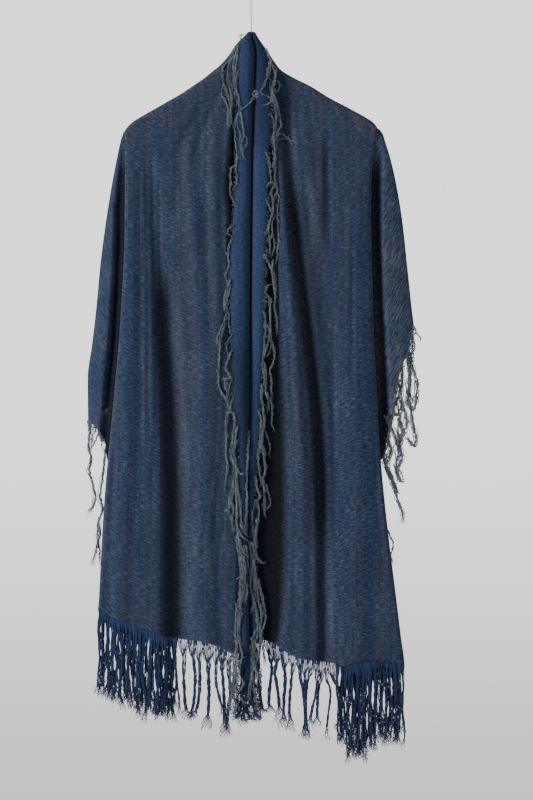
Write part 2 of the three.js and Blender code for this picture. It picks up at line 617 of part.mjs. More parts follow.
fringedEdge('collar_fray', frayGrey, collarLine, {
  count: 7, gap: stripGap, inward: -1, towards: -1, radius: frayYarn, sway: 3, bends: 3, seed: 17,
  lengthAt: (root, share, i) => 20 + 30 * uneven(i, 11),
  clearY: (x, y, z) => Math.max(y, backY(x, z) + 3.2),
});

// The yarns that hang off a lapel's frayed edge. Each leaves the strip beside the edge and falls along it, in front
// of the cloth and in a lane of its own, so that neighbours pass without touching.
const lapelYarns = 20;
const lanes = 4;
function lapelYarn(side, line, i) {
  const seed = 20 + side.sign;
  const start = (i + 0.3 + 0.4 * uneven(i, seed)) / lapelYarns;
  const root = placeOn(line, start);
  const rootX = root.x + side.sign * (stripGap + stripHeight / 2);
  const longest = start > 0.35 ? 150 : 105;
  const length = Math.min(lerp(45, longest, uneven(i, seed + 1)), root.z + 1212);
  const outward = lerp(3.5, 11, uneven(i, seed + 2));
  const clear = 2.6 + 2.8 * (i % lanes);
  return evenSteps(4).map((fall, step) => {
    if (step === 0) return new THREE.Vector3(rootX, root.y + clothThickness / 2, root.z);
    const z = root.z - length * fall;
    const edge = lapelSurface(side, 1, z);
    const wander = 3 * (uneven(i * 5 + step, seed + 3) - 0.5);
    const x = edge.x + side.sign * (stripGap + 2.5 + outward * Math.sqrt(fall)) + wander;
    return new THREE.Vector3(x, Math.min(edge.y, foremostY(x, z)) - clear, z);
  });
}
for (const side of sides) {
  const edge = lapelRows.slice(1, -1).map((v) => lapelPoint(side, 1, v));
  const strip = rootStrip(edge, new THREE.Vector3(side.sign, 0, 0), stripGap, side.sign, frayYarn);
  const yarns = Array.from({ length: lapelYarns }, (_, i) => tube(lapelYarn(side, edge, i), frayYarn, 3));
  addPiece(`lapel_fray_${side.word}`, fuse([strip, ...yarns]), frayGrey);
}

// ---- hanger and string ----

// The hanger is cut from a board, with rounded edges: a neck, and two arms that slope under the shoulders.
const armTopZ = (x) => hangerArmZ - (x - hangerNeckFoot) * hangerSlope;
const hangerShape = new THREE.Shape();
hangerShape.moveTo(-hangerNeckHalf, hangerNeckZ);
hangerShape.lineTo(hangerNeckHalf, hangerNeckZ);
hangerShape.quadraticCurveTo(hangerNeckHalf + 2, armTopZ(hangerNeckFoot) + 10, hangerNeckFoot, armTopZ(hangerNeckFoot));
hangerShape.lineTo(hangerReach - 8, armTopZ(hangerReach - 8));
hangerShape.quadraticCurveTo(hangerReach, armTopZ(hangerReach), hangerReach, armTopZ(hangerReach) - 7);
hangerShape.quadraticCurveTo(hangerReach, armTopZ(hangerReach) - 15, hangerReach - 8, armTopZ(hangerReach) - 13);
hangerShape.quadraticCurveTo(hangerReach * 0.4, armTopZ(hangerReach * 0.4) - 30, 0, hangerArmZ - 22);
hangerShape.quadraticCurveTo(-hangerReach * 0.4, armTopZ(hangerReach * 0.4) - 30, 8 - hangerReach,
  armTopZ(hangerReach) - 13);
hangerShape.quadraticCurveTo(-hangerReach, armTopZ(hangerReach) - 15, -hangerReach, armTopZ(hangerReach) - 7);
hangerShape.quadraticCurveTo(-hangerReach, armTopZ(hangerReach), 8 - hangerReach, armTopZ(hangerReach - 8));
hangerShape.lineTo(-hangerNeckFoot, armTopZ(hangerNeckFoot));
hangerShape.quadraticCurveTo(-hangerNeckHalf - 2, armTopZ(hangerNeckFoot) + 10, -hangerNeckHalf, hangerNeckZ);
const hanger = addPiece('hanger', new THREE.ExtrudeGeometry(hangerShape, {
  depth: hangerThickness - 2 * hangerBevel,
  steps: 1,
  curveSegments: 4,
  bevelThickness: hangerBevel,
  bevelSize: hangerBevel,
  bevelOffset: -hangerBevel,
  bevelSegments: 1,
}), wornWood, 0.8);
hanger.rotation.x = Math.PI / 2;
hanger.position.y = hangerThickness / 2 - hangerBevel;

// The string rises from the hanger's neck to a knot, above which it makes the loop that the hook holds.
const stringRadius = stringDiameter / 2;
const stringRoute = [
  [0, 0, hangerNeckZ + seamGap], [0.3, 0, -90], [0.4, 0.1, -76], [0.2, 0.1, -60], [0, 0, -44], [-0.1, 0, -30],
  [0, 0, knotZ - knotRadius - seamGap],
].map((place) => new THREE.Vector3(...place));
addPiece('string', tube(stringRoute, stringRadius, 8, 14), stringTan, 0.9);

const loopPoints = [
  [-1, 0, knotZ + 1], [-4.4, 0, knotZ + 7], [-loopRadius, 0, -6], [-4.4, 0, -0.6], [0, 0, stringRadius],
  [4.4, 0, -0.6], [loopRadius, 0, -6], [4.4, 0, knotZ + 7], [1, 0, knotZ + 1],
].map((place) => new THREE.Vector3(...place));
const knot = new THREE.SphereGeometry(knotRadius, 9, 6).translate(0, 0, knotZ);
addPiece('string_loop', fuse([knot, tube(loopPoints, stringRadius, 6, 16)]), stringTan, 0.9);

export default group;
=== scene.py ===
import math

import bpy
import numpy as np
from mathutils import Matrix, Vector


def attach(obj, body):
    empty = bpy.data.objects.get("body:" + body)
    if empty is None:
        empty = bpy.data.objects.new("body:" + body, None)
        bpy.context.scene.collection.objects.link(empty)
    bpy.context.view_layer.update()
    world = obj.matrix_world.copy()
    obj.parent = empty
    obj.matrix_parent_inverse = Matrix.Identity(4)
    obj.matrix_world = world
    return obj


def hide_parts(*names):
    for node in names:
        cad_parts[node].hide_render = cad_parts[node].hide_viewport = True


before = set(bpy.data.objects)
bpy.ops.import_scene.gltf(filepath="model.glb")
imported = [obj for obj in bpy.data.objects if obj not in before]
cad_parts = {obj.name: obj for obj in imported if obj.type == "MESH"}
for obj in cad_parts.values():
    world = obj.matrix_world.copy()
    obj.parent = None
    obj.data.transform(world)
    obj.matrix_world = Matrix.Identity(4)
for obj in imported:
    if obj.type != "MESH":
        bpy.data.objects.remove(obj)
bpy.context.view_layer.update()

# ---- Camera ----
# It stands square to the front, level with the middle of the hanging cloth, and takes in the whole
# of it and most of the string.
camera_distance = 6.0
view_height = 1.344
view_centre = (0.026, -0.006, -0.6955)
sensor_size = 36
camera_data = bpy.data.cameras.new("camera")
camera_data.sensor_width = sensor_size
camera_data.lens = sensor_size * camera_distance / view_height
camera_data.clip_end = 10 * camera_distance
camera = bpy.data.objects.new("camera", camera_data)
camera.location = (view_centre[0], view_centre[1] - camera_distance, view_centre[2])
camera.rotation_euler = (math.pi / 2, 0, 0)
bpy.context.collection.objects.link(camera)
bpy.context.scene.camera = camera

# ---- String ----
# A taut two-ply cotton twine holds the hanger. It is tied through the hanger's neck, passes up between
# the cloth's front and back, and ends in a knot and a loop for a small hook.
mm = 0.001
string_diameter = 2.6
string_route = [(0, 0, -105.65), (0.3, 0, -90), (0.4, 0.1, -76), (0.2, 0.1, -60), (0, 0, -44),
                (-0.1, 0, -30), (0, 0, -23.05)]
loop_route = [(-1, 0, -18.5), (-4.4, 0, -12.5), (-6, 0, -6), (-4.4, 0, -0.6), (0, 0, 1.3),
              (4.4, 0, -0.6), (6, 0, -6), (4.4, 0, -12.5), (1, 0, -18.5)]
knot_height = -19.5
knot_radius = 2.05
knot_turns = 2.4
knot_half = 2
loop_steps = 60


def along(places, count):
    """Evenly spaced places on a smooth curve through a few given ones."""
    given = np.asarray(places, float)
    ends = np.vstack([2 * given[0] - given[1], given, 2 * given[-1] - given[-2]])
    share = np.linspace(0, len(given) - 1 - 1e-9, count)
    i = share.astype(int)
    t = (share - i)[:, None]
    a, b, c, d = (ends[i + k] for k in range(4))
    return 0.5 * (2 * b + (c - a) * t + (2 * a - 5 * b + 4 * c - d) * t ** 2
                  + (3 * b - a - 3 * c + d) * t ** 3)


def mesh_piece(name, points, faces, material, **layers):
    """One object of quads and triangles, from places in millimetres, with its point layers."""
    mesh = bpy.data.meshes.new(name)
    mesh.from_pydata((np.asarray(points) * mm).tolist(), [], faces)
    mesh.polygons.foreach_set("use_smooth", np.ones(len(mesh.polygons), bool))
    for layer, values in layers.items():
        mesh.attributes.new(layer, "FLOAT_VECTOR", "POINT").data.foreach_set("vector", values.ravel())
    mesh.materials.append(material)
    piece = bpy.data.objects.new(name, mesh)
    bpy.context.collection.objects.link(piece)
    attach(piece, "root")
    return piece


def spun(name, groups, material, sides=3, lobes=0, pitch=8, taper=0.35):
    """Yarns as closed tubes that thin at the tip. Each group holds routes with as many places each, and
    their radius. Lobes give the ridges of twisted plies. The rings are turned by an axis near the depth
    axis, which no route follows."""
    points, faces, start = [], [], 0
    turn = 2 * math.pi * np.arange(sides) / sides
    for routes, radius in groups:
        routes = np.asarray(routes, float)
        count, steps = routes.shape[:2]
        ahead = np.gradient(routes, axis=1)
        ahead /= np.linalg.norm(ahead, axis=2, keepdims=True) + 1e-9
        level = np.cross(ahead, np.array([0.05, 1, 0.02]))
        level /= np.linalg.norm(level, axis=2, keepdims=True) + 1e-9
        upright = np.cross(level, ahead)
        size = np.ones((count, steps)) * np.asarray(radius, float).reshape(-1, 1)
        if taper:
            size *= np.interp(np.linspace(0, 1, steps), [0, 0.85, 1], [1, 1, taper])
        size = size[:, :, None] * np.ones(sides)
        if lobes:
            run = np.cumsum(np.linalg.norm(np.diff(routes, axis=1, prepend=routes[:, :1]), axis=2), axis=1)
            size = size * (0.84 + 0.16 * np.cos(lobes * (turn - 2 * math.pi * run[:, :, None] / pitch)))
        ring = (routes[:, :, None] + size[..., None] * (np.cos(turn)[:, None] * level[:, :, None]
                                                        + np.sin(turn)[:, None] * upright[:, :, None]))
        index = np.arange(count * steps * sides).reshape(count, steps, sides) + start
        after = np.roll(index, -1, axis=2)
        walls = np.stack([index[:, :-1], index[:, 1:], after[:, 1:], after[:, :-1]], -1).reshape(-1, 4)
        faces += walls.tolist() + index[:, 0].tolist() + index[:, -1, ::-1].tolist()
        points.append(ring.reshape(-1, 3))
        start += ring.size // 3
    return mesh_piece(name, np.vstack(points), faces, material)


class Dye:
    """A socket among a material's nodes. Sums and products of it add Math nodes."""

    def __init__(self, tree, socket=None):
        self.tree, self.socket = tree, socket

    def node(self, kind, settings, inputs, output=0):
        made = self.tree.nodes.new("ShaderNode" + kind)
        for key, value in settings.items():
            setattr(made, key, value)
        for key, value in inputs.items():
            if isinstance(value, Dye):
                self.tree.links.new(value.socket, made.inputs[key])
            else:
                made.inputs[key].default_value = value
        return Dye(self.tree, made.outputs[output])

    def math(self, operation, first, second):
        return self.node("Math", {"operation": operation}, {0: first, 1: second})

    def __add__(self, other):
        return self.math("ADD", self, other)

    def __radd__(self, other):
        return self.math("ADD", other, self)

    def __sub__(self, other):
        return self.math("SUBTRACT", self, other)

    def __rsub__(self, other):
        return self.math("SUBTRACT", other, self)

    def __mul__(self, other):
        return self.math("MULTIPLY", self, other)

    def __rmul__(self, other):
        return self.math("MULTIPLY", other, self)

    def between(self, low, high):
        """0 below low, 1 above high, and smooth between."""
        return self.node("MapRange", {"interpolation_type": "SMOOTHSTEP"},
                         {"Value": self, "From Min": low, "From Max": high})

    def blend(self, first, second):
        """From the first colour, where this is 0, to the second, where it is 1."""
        ends = {6: first, 7: second}
        ends = {key: value if isinstance(value, Dye) else (*value, 1) for key, value in ends.items()}
        return self.node("Mix", {"data_type": "RGBA"}, {0: self, **ends}, output=2)

    def stretch(self, scale):
        """Coordinates times a scale for each axis."""
        return self.node("VectorMath", {"operation": "MULTIPLY"}, {0: self, 1: scale})

    def noise(self, scale, detail=2.0, rough=0.5, distortion=0.0):
        inputs = {"Vector": self, "Scale": scale, "Detail": detail, "Roughness": rough,
                  "Distortion": distortion}
        return self.node("TexNoise", {}, inputs)

    def relief(self, strength, distance):
        return self.node("Bump", {}, {"Strength": strength, "Distance": distance, "Height": self})


def finish_of(name, recipe, **even):
    """A material. The recipe takes its nodes and gives what varies, by the shader's socket names."""
    material = bpy.data.materials.new(name)
    material.use_nodes = True
    tree = material.node_tree
    shader = tree.nodes["Principled BSDF"]
    for key, value in even.items():
        shader.inputs[key.replace("_", " ")].default_value = value
    for key, value in recipe(Dye(tree)).items():
        tree.links.new(value.socket, shader.inputs[key])
    return material


def twine_recipe(dye):
    place = dye.node("TexCoord", {}, {}, output=3)
    fibre = place.stretch((1, 1, 0.3)).noise(1800, 3)
    shade = fibre.between(0.3, 0.7).blend((0.85, 0.72, 0.56), (0.97, 0.90, 0.78))
    return {"Base Color": shade, "Normal": fibre.relief(0.4, 0.0004)}


twine = finish_of("twine", twine_recipe, Roughness=0.9)
twist = {"sides": 12, "lobes": 2, "pitch": 9, "taper": 0}
string_path = along(string_route, 40)
string = spun("twine_string", [([string_path], string_diameter / 2)], twine, **twist)
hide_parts("string")

loop_path = along(loop_route, loop_steps)
loop_twine = string_diameter / 2 - 0.1
turns = np.linspace(0, knot_turns * 2 * math.pi, loop_steps)
heights = knot_height + np.linspace(-knot_half, knot_half, loop_steps)
wraps = np.stack([knot_radius * np.cos(turns), knot_radius * np.sin(turns), heights], 1)
loop = spun("twine_loop", [([loop_path, wraps], loop_twine)], twine, **twist)
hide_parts("string_loop")
tuple(string_path[0] * mm)
(string_path * mm).tolist()


# ---- Hanger ----
# A plain hanger sawn from a thin board, worn and unvarnished. Its neck and two sloping arms carry the
# cloth, which hides it.
def board_recipe(dye):
    place = dye.node("TexCoord", {}, {}, output=3)
    grain = place.stretch((4, 30, 60)).noise(4, 5, 0.6, 1.5)
    pores = place.stretch((6, 60, 160)).noise(8, 2)
    shade = grain.between(0.3, 0.75).blend((0.24, 0.13, 0.07), (0.42, 0.26, 0.15))
    worn = pores.between(0.55, 0.75).blend(shade, (0.12, 0.07, 0.04))
    return {"Base Color": worn, "Roughness": 0.6 + 0.3 * grain, "Normal": grain.relief(0.3, 0.0006)}


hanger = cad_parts["hanger"]
hanger.data.materials.clear()
hanger.data.materials.append(finish_of("worn_board", board_recipe))


# ---- Back of the stole ----
# One length of loose handwoven cotton, dyed with indigo. Its middle hangs from the shoulders behind the
# hanger in soft uneven folds, and its long edge below is left frayed.
shell_thickness = 0.9
seam_gap = 0.35
string_way = 2.6
string_way_reach = 9
crown_radius = 8.5
crown_share = 0.04
shoulder_tip = -244
back_belly = 12
belly_run = 240
back_hem_level = -650
# The fold lift at which the painted shade is full.
lift_for_full_shade = 12

shoulder_rows = [
    (-216, -256), (-212.5, -243), (-200, -228.5), (-186, -219.5), (-173, -211.8), (-159, -204),
    (-146, -196.5), (-119, -181), (-92, -163), (-79, -154), (-65.5, -143), (-52, -132), (-38.5, -117),
    (-25, -97), (-12, -84), (-5, -77.5), (1, -75.6), (5.5, -77.5), (14, -89), (26, -106), (42, -130),
    (50, -140), (74, -154.5), (99, -167), (133, -188), (158, -201), (183, -214.5), (200, -224.5),
    (207, -230), (214, -240), (219, -254)]
back_hem_rows = [(-250, -706), (-150, -676), (-40, -652), (60, -640), (150, -622), (250, -608)]

# Places across the front at each height: the silhouette of the sides, the outer fold of each front,
# the outer side of the hollow behind each lapel, each lapel's free edge, and the groove between them.
level_names = ["height", "side_left", "fold_left", "hollow_left", "lapel_left", "groove", "lapel_right",
               "hollow_right", "fold_right", "side_right"]
level_rows = np.array([
    [-79, -212, -212, -5, -4, 0.5, 4, 5, 212, 212],
    [-95, -212, -212, -17, -16, 4.5, 15.5, 17, 212, 212],
    [-115, -212, -212, -23, -20.6, 7.5, 26.5, 29, 212, 212],
    [-145, -212, -212, -27, -22, 6.7, 28.6, 34, 212, 212],
    [-180, -212, -212, -29, -22, 5, 31, 40, 212, 212],
    [-215, -212.5, -212.5, -32, -22, 4.2, 34, 44, 213.5, 213.5],
    [-244, -215, -212.5, -34, -23.5, 3.4, 33.6, 44, 213.5, 221],
    [-258, -219, -212, -36, -24, 2.9, 32.2, 43, 210, 225],
    [-290, -226, -212, -39, -25, 1.7, 29, 42, 205, 235],
    [-340, -235.5, -212, -42, -26.4, 1.2, 28.6, 46, 202, 246],
    [-400, -245, -212, -39, -31, 0.3, 26.5, 48, 202, 255.5],
    [-470, -254, -214, -38, -35.8, -0.5, 24.2, 47, 203.5, 263],
    [-540, -260.5, -218, -38, -35, -1.2, 22.3, 50, 205, 270.5],
    [-600, -267.5, -222, -37, -34, -1.7, 20, 53, 207, 277.5],
    [-660, -275, -227.5, -36, -32, -2.7, 16.8, 57, 210, 281],
    [-720, -274.5, -233, -33, -26, -3.7, 13.4, 60, 213, 284],
    [-790, -273, -240, -26, -19, -5, 10, 62, 217.5, 287],
    [-860, -272, -246, -25, -16, -6, 5.5, 63, 224, 288],
    [-940, -272, -251, -25, -16, -5, 6.7, 63, 233, 288],
    [-1020, -272, -255, -25, -16, -3.4, 10, 60, 243, 288],
    [-1090, -272, -259, -25, -16, -1.7, 12, 52, 251.5, 288],
    [-1145, -272, -260, -25, -16, -1.7, 12, 38, 258, 288]])

# The folds of the back, a row each: the line that a fold follows from its top to its foot, its half
# width at the top and the foot, and its height towards the rear.
back_folds = [
    ([(-44, -230), (-64, -400), (-86, -700)], 26, 34, 6),
    ([(-8, -230), (-14, -400), (-22, -700)], 24, 32, -5),
    ([(36, -230), (48, -400), (64, -690)], 26, 34, 6),
    ([(90, -250), (116, -420), (132, -680)], 26, 30, -4),
    ([(-130, -260), (-142, -450), (-150, -720)], 28, 32, -4),
    ([(176, -290), (178, -430), (180, -660)], 22, 26, 4),
    ([(-96, -260), (-104, -430), (-116, -700)], 10, 13, 1.8),
    ([(12, -250), (16, -420), (20, -700)], 9, 12, 1.6),
    ([(150, -300), (152, -450), (156, -700)], 9, 12, -1.5),
    ([(-176, -300), (-182, -480), (-190, -720)], 10, 14, 1.7),
    ([(-66, -210), (-100, -280), (-128, -350)], 9, 13, 2.0),
    ([(62, -200), (96, -270), (122, -340)], 9, 13, 1.8)]


def curve(rows):
    """A smooth curve through table rows that never overshoots them, level past its ends."""
    rows = np.array(sorted(rows), float)
    at, value = rows[:, 0], rows[:, 1]
    slope = np.diff(value) / np.diff(at)
    tangent = np.zeros(len(at))
    for i in range(1, len(slope)):
        if slope[i - 1] * slope[i] > 0:
            tangent[i] = 2 * slope[i - 1] * slope[i] / (slope[i - 1] + slope[i])

    def through(x):
        x = np.clip(x, at[0], at[-1])
        i = np.clip(np.searchsorted(at, x, side="right") - 1, 0, len(slope) - 1)
        run = at[i + 1] - at[i]
        t = (x - at[i]) / run
        s = 1 - t
        return (value[i] * s * s * (1 + 2 * t) + value[i + 1] * t * t * (3 - 2 * t)
                + run * t * s * (tangent[i] * s - tangent[i + 1] * t))
    return through


def smooth(t):
    t = np.clip(t, 0, 1)
    return t * t * (3 - 2 * t)


def fade_in(z, top, run):
    """0 above a height, growing smoothly to 1 over a run below it."""
    return smooth((top - z) / run)


def bump(t):
    """A soft ridge: 1 in the middle and 0 from a distance of 1 on."""
    return np.where(np.abs(t) < 1, (1 + np.cos(np.pi * np.clip(t, -1, 1))) / 2, 0)


def lerp(a, b, t):
    return a + (b - a) * t


shoulder_z = curve(shoulder_rows)
back_hem_z = curve(back_hem_rows)
level = {name: curve(list(zip(level_rows[:, 0], column)))
         for name, column in zip(level_names[1:], level_rows.T[1:])}


def fold_lift(folds, x, z, hem):
    """How much the folds lift the cloth. Each fades in below its top and, where it stops above the hem's
    level, out at its foot."""
    lift = 0 * x
    for line, top_half, foot_half, height in folds:
        top, foot = line[0][1], line[-1][1]
        half = lerp(top_half, foot_half, np.clip((z - top) / (foot - top), 0, 1))
        centre = curve([(place_z, place_x) for place_x, place_z in line])(z)
        fade = fade_in(z, top + 50, 130)
        if foot >= hem:
            fade = fade * smooth((z - foot + 70) / 120)
        lift = lift + height * fade * bump((x - centre) / half)
    return lift


# Each wave's length across the cloth, the length over which it wanders downwards, and its phase.
ripple_waves = ((9.5, 330, 0.3), (13, 210, 2.1), (17, 420, 4.0), (24, 260, 5.2), (37, 510, 1.1))
ripple_height = 0.0085


def ripple(x, z, size=1.0):
    """The fine upright waves that a hanging gauze keeps from its weaving and washing."""
    total = 0 * x
    for length, slow, phase in ripple_waves:
        swing = 1.6 * np.sin(2 * np.pi * z / slow + phase)
        swell = 0.55 + 0.45 * np.sin(2 * np.pi * z / (slow * 1.7) + 3 * phase + x / 60)
        total = total + ripple_height * length * swell * np.sin(2 * np.pi * x / length + swing + phase)
    return size * total


def back_y(x, z):
    """The depth of the back at a place."""
    below = np.maximum(0, shoulder_z(x) - crown_radius - z)
    belly = back_belly * smooth(below / belly_run)
    folds = fold_lift(back_folds, x, z, back_hem_level) + ripple(x, z)
    return crown_radius + belly + folds * smooth(below / 60)


def seam_y(x):
    """Half the gap between the fronts and the back along the shoulders, wider where the string comes up."""
    return seam_gap / 2 + string_way * np.exp(-((x / string_way_reach) ** 2))


def crown_turn(v):
    """The angle round the shoulder at a share of the way down, a right angle below it."""
    return np.clip(v / crown_share, 0, 1) * np.pi / 2


def drop_z(top, foot, v):
    """The height at a share of the way down: first round the shoulder, then evenly to the foot."""
    crown = top - crown_radius * (1 - np.cos(crown_turn(v)))
    fall = lerp(top - crown_radius, foot, (v - crown_share) / (1 - crown_share))
    return np.where(v <= crown_share, crown, fall)


def crown_y(v, edge, face):
    """The depth there: from the seam's edge round the shoulder to the face of the cloth."""
    return np.where(v < crown_share, lerp(edge, face, np.sin(crown_turn(v))), face)


def column_ends(x_at, top_curve, foot_curve):
    """The heights at which a column of cloth leaves the shoulder and reaches the hem, in a few rounds."""
    top, foot = shoulder_tip, -1000
    for _ in range(6):
        top, foot = top_curve(x_at(top)), foot_curve(x_at(foot))
    return top, foot


def fine_first(share, fine, rest):
    """Steps from 0 to 1, close together up to a share and then evenly spaced."""
    return np.concatenate([np.linspace(0, share, fine)[:-1], np.linspace(share, 1, rest)])


def cloth(name, surface, across, down, inward, material):
    """A thin closed shell over a grid of shares u across and v down. Its surface gives the place, the place
    along the weave, and how much painted shade the cloth takes in a fold, how open and how rusty it is there.
    The painted shade lies on the outer face only: what lies deep there stands out on the inner one, which is
    never darkened."""
    u, v = np.meshgrid(across, down, indexing="ij")
    place, weave, wear = (np.stack(np.broadcast_arrays(*three, 0 * u)[:3], -1).astype(float)
                          for three in surface(u, v))
    facing = np.cross(np.gradient(place, axis=0), np.gradient(place, axis=1))
    facing /= np.linalg.norm(facing, axis=2, keepdims=True) + 1e-12
    inner = place + facing * shell_thickness * inward
    wide, tall = u.shape
    front = np.arange(wide * tall).reshape(wide, tall)
    rear = front + wide * tall
    quads = [np.stack([front[:-1, :-1], front[:-1, 1:], front[1:, 1:], front[1:, :-1]], -1),
             np.stack([rear[:-1, :-1], rear[1:, :-1], rear[1:, 1:], rear[:-1, 1:]], -1),
             np.stack([front[:-1, 0], front[1:, 0], rear[1:, 0], rear[:-1, 0]], -1),
             np.stack([front[1:, -1], front[:-1, -1], rear[:-1, -1], rear[1:, -1]], -1),
             np.stack([front[0, 1:], front[0, :-1], rear[0, :-1], rear[0, 1:]], -1),
             np.stack([front[-1, :-1], front[-1, 1:], rear[-1, 1:], rear[-1, :-1]], -1)]
    faces = np.vstack([q.reshape(-1, 4) for q in quads])
    if inward < 0:
        faces = faces[:, ::-1]
    weave, wear = (np.tile(layer.reshape(-1, 3), (2, 1)) for layer in (weave * mm, wear))
    wear[wide * tall:, 0] = 0
    points = np.vstack([place.reshape(-1, 3), inner.reshape(-1, 3)])
    return mesh_piece(name, points, faces.tolist(), material, weave=weave, wear=wear)


def woven(cool, warm, slub, contrast=0.75, relief=1.0, run=0.17):
    """Handwoven cloth: fine upright stripes of cooler and warmer yarn, crossed by short raised slubs that
    waver. Deep in its folds it takes painted shade, drawn towards near-black; where it is open the light
    passes, and rust has marked it."""
    def recipe(dye):
        place = dye.node("Attribute", {"attribute_name": "weave"}, {}, output=1)
        wear = dye.node("Attribute", {"attribute_name": "wear"}, {}, output=1)
        painted_shade, open_weave, rust = (dye.node("SeparateXYZ", {}, {0: wear}, output=i) for i in range(3))
        sway = place.stretch((1, 0.35, 1)).noise(70, 2)
        shift = dye.node("CombineXYZ", {}, {1: 0.006 * (sway - 0.5)})
        bent = dye.node("VectorMath", {"operation": "ADD"}, {0: place, 1: shift})
        crepe = bent.stretch((run, 1, 1)).noise(600, 2, 0.6)
        fine = bent.stretch((2 * run, 1, 1)).noise(1300, 1, 0.5)
        stripe = place.stretch((1, 0.012, 1)).noise(310, 3, 0.7)
        band = place.stretch((1, 0.02, 1)).noise(48, 2)
        patch = place.stretch((1, 0.5, 1)).noise(26, 2)
        raised = (0.62 * crepe + 0.3 * fine + 0.12 * patch).between(0.45, 0.62)
        warmer = (0.65 * stripe + 0.35 * band).between(0.42, 0.61)
        ground = warmer.blend(cool, warm)
        pale = warmer.blend(slub, [value * tone for value, tone in zip(slub, (1.3, 1.12, 1.02))])
        shade = (contrast * raised).blend(ground, pale)
        # Painted shade: deep in folds and hollows the colour is drawn towards near-black.
        with_painted_shade = (0.96 * painted_shade).blend(shade, (0.003, 0.004, 0.010))
        marks = place.stretch((1, 0.35, 1)).noise(420, 2)
        marked = (rust * marks.between(0.4, 0.62)).blend(with_painted_shade, (0.17, 0.095, 0.070))
        holes = place.stretch((0.15, 1, 1)).noise(700, 2, 0.6)
        return {"Base Color": marked, "Roughness": 0.95 - 0.12 * raised,
                "Alpha": 1 - open_weave * holes.between(0.45, 0.6),
                "Normal": (raised + 0.5 * stripe).relief(relief, 0.0011)}
    return recipe


gauze = {"Sheen_Weight": 0.22, "Sheen_Roughness": 0.4, "Sheen_Tint": (0.8, 0.88, 1, 1),
         "Specular_IOR_Level": 0.1}
indigo_weave = woven((0.011, 0.028, 0.076), (0.037, 0.038, 0.067), (0.072, 0.110, 0.193))
indigo = finish_of("indigo_cloth", indigo_weave, **gauze)


def back_surface(u, v):
    def x_at(z):
        return lerp(level["fold_left"](z), level["fold_right"](z), u)

    top, foot = column_ends(x_at, shoulder_z, back_hem_z)
    z = drop_z(top, foot, v)
    x = x_at(z)
    # Painted shade in the troughs of the back's folds.
    painted_shade = np.clip(-fold_lift(back_folds, x, z, back_hem_level) / lift_for_full_shade, 0, 1)
    return (x, crown_y(v, seam_y(x), back_y(x, z)), z), (x, -z, 500), (painted_shade, 0, 0)


back = cloth("stole_back", back_surface, np.linspace(0, 1, 92), fine_first(crown_share, 9, 104), -1, indigo)
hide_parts("back")

# ---- Fronts ----
# The same length of cloth comes forward over both shoulders. Each half falls straight from the hanger in
# a few broad folds, and turns under at its outer side in a rounded fold.
hem_rows = [
    (-260, -1041), (-237, -1058), (-220, -1065), (-195, -1073), (-170, -1082), (-144, -1092),
    (-119, -1097), (-86, -1100), (-60, -1107), (-44, -1115), (-27, -1122), (-2, -1112), (20, -1099),
    (32, -1102), (49, -1112), (65, -1122), (82, -1129), (116, -1134), (141, -1137), (158, -1142),
    (175, -1137), (192, -1134), (225, -1134), (260, -1139)]
front_belly = 10
front_hem_level = -1000
fold_radius = 7
hollow_depth = 12
hollow_top = -178
lapel_offset = 1
tuck_width = 6
tuck_depth = 4
tuck_start = -84
tuck_top = -200

# The folds of the fronts, in rows like those of the back, where height is towards the front.
front_folds = [
    ([(-204, -300), (-202, -480), (-206, -700), (-220, -1080)], 18, 26, 5),
    ([(-166, -276), (-150, -528), (-136, -695), (-128, -864), (-126, -1080)], 20, 32, -4),
    ([(-142, -480), (-132, -700), (-126, -864), (-125, -1080)], 26, 34, -10),
    ([(-98, -330), (-78, -620), (-76, -1080)], 24, 32, 6),
    ([(-62, -240), (-62, -400), (-56, -600)], 14, 18, 5),
    ([(-186, -300), (-185, -520), (-184, -740)], 3.6, 4.5, -0.9),
    ([(-176, -280), (-173, -500), (-171, -740)], 3.6, 5, -1.3),
    ([(-165, -290), (-160, -500), (-158, -780)], 4, 5, -1.4),
    ([(-154, -320), (-149, -560), (-147, -780)], 4, 5, -1.1),
    ([(-40, -600), (-46, -760), (-62, -930)], 6, 7, -1.1),
    ([(-50, -620), (-60, -780), (-80, -960)], 5, 7, -1.0),
    ([(-36, -760), (-44, -880), (-56, -1010)], 5, 6, -0.9),
    ([(-43, -150), (-64, -200), (-92, -272)], 11, 16, -4.5),
    ([(-64, -170), (-92, -220), (-122, -285)], 11, 15, -2.2),
    ([(-54, -165), (-78, -225), (-106, -300)], 10, 14, 2.5),
    ([(-150, -215), (-158, -262), (-160, -330)], 16, 20, 2),
    ([(54, -330), (60, -440), (67, -528), (80, -695), (86, -860), (88, -1090)], 9, 16, 3),
    ([(49, -150), (56, -200), (63, -265), (72, -360), (81, -444), (92, -528), (103, -612), (112, -695),
      (118, -763), (123, -930), (124, -1060)], 17, 17, -8),
    ([(84, -330), (94, -444), (106, -528), (116, -628), (124, -763), (130, -900)], 38, 42, -7),
    ([(176, -330), (174, -640), (174, -1080)], 40, 42, 6),
    ([(128, -240), (129, -320), (130, -420)], 10, 12, -4),
    ([(92, -200), (98, -300), (112, -420)], 12, 14, 3),
    ([(171, -400), (170, -500), (170, -680)], 7, 9, -2.6),
    ([(155, -370), (154, -520), (152, -720)], 3.5, 4, -1.0),
    ([(180, -420), (180, -560), (184, -700)], 3.5, 4, -0.9),
    ([(140, -560), (140, -760), (142, -980)], 6, 8, -1.2),
    ([(206, -700), (214, -860), (222, -1000)], 6, 8, -1.0)]

hem_z = curve(hem_rows)

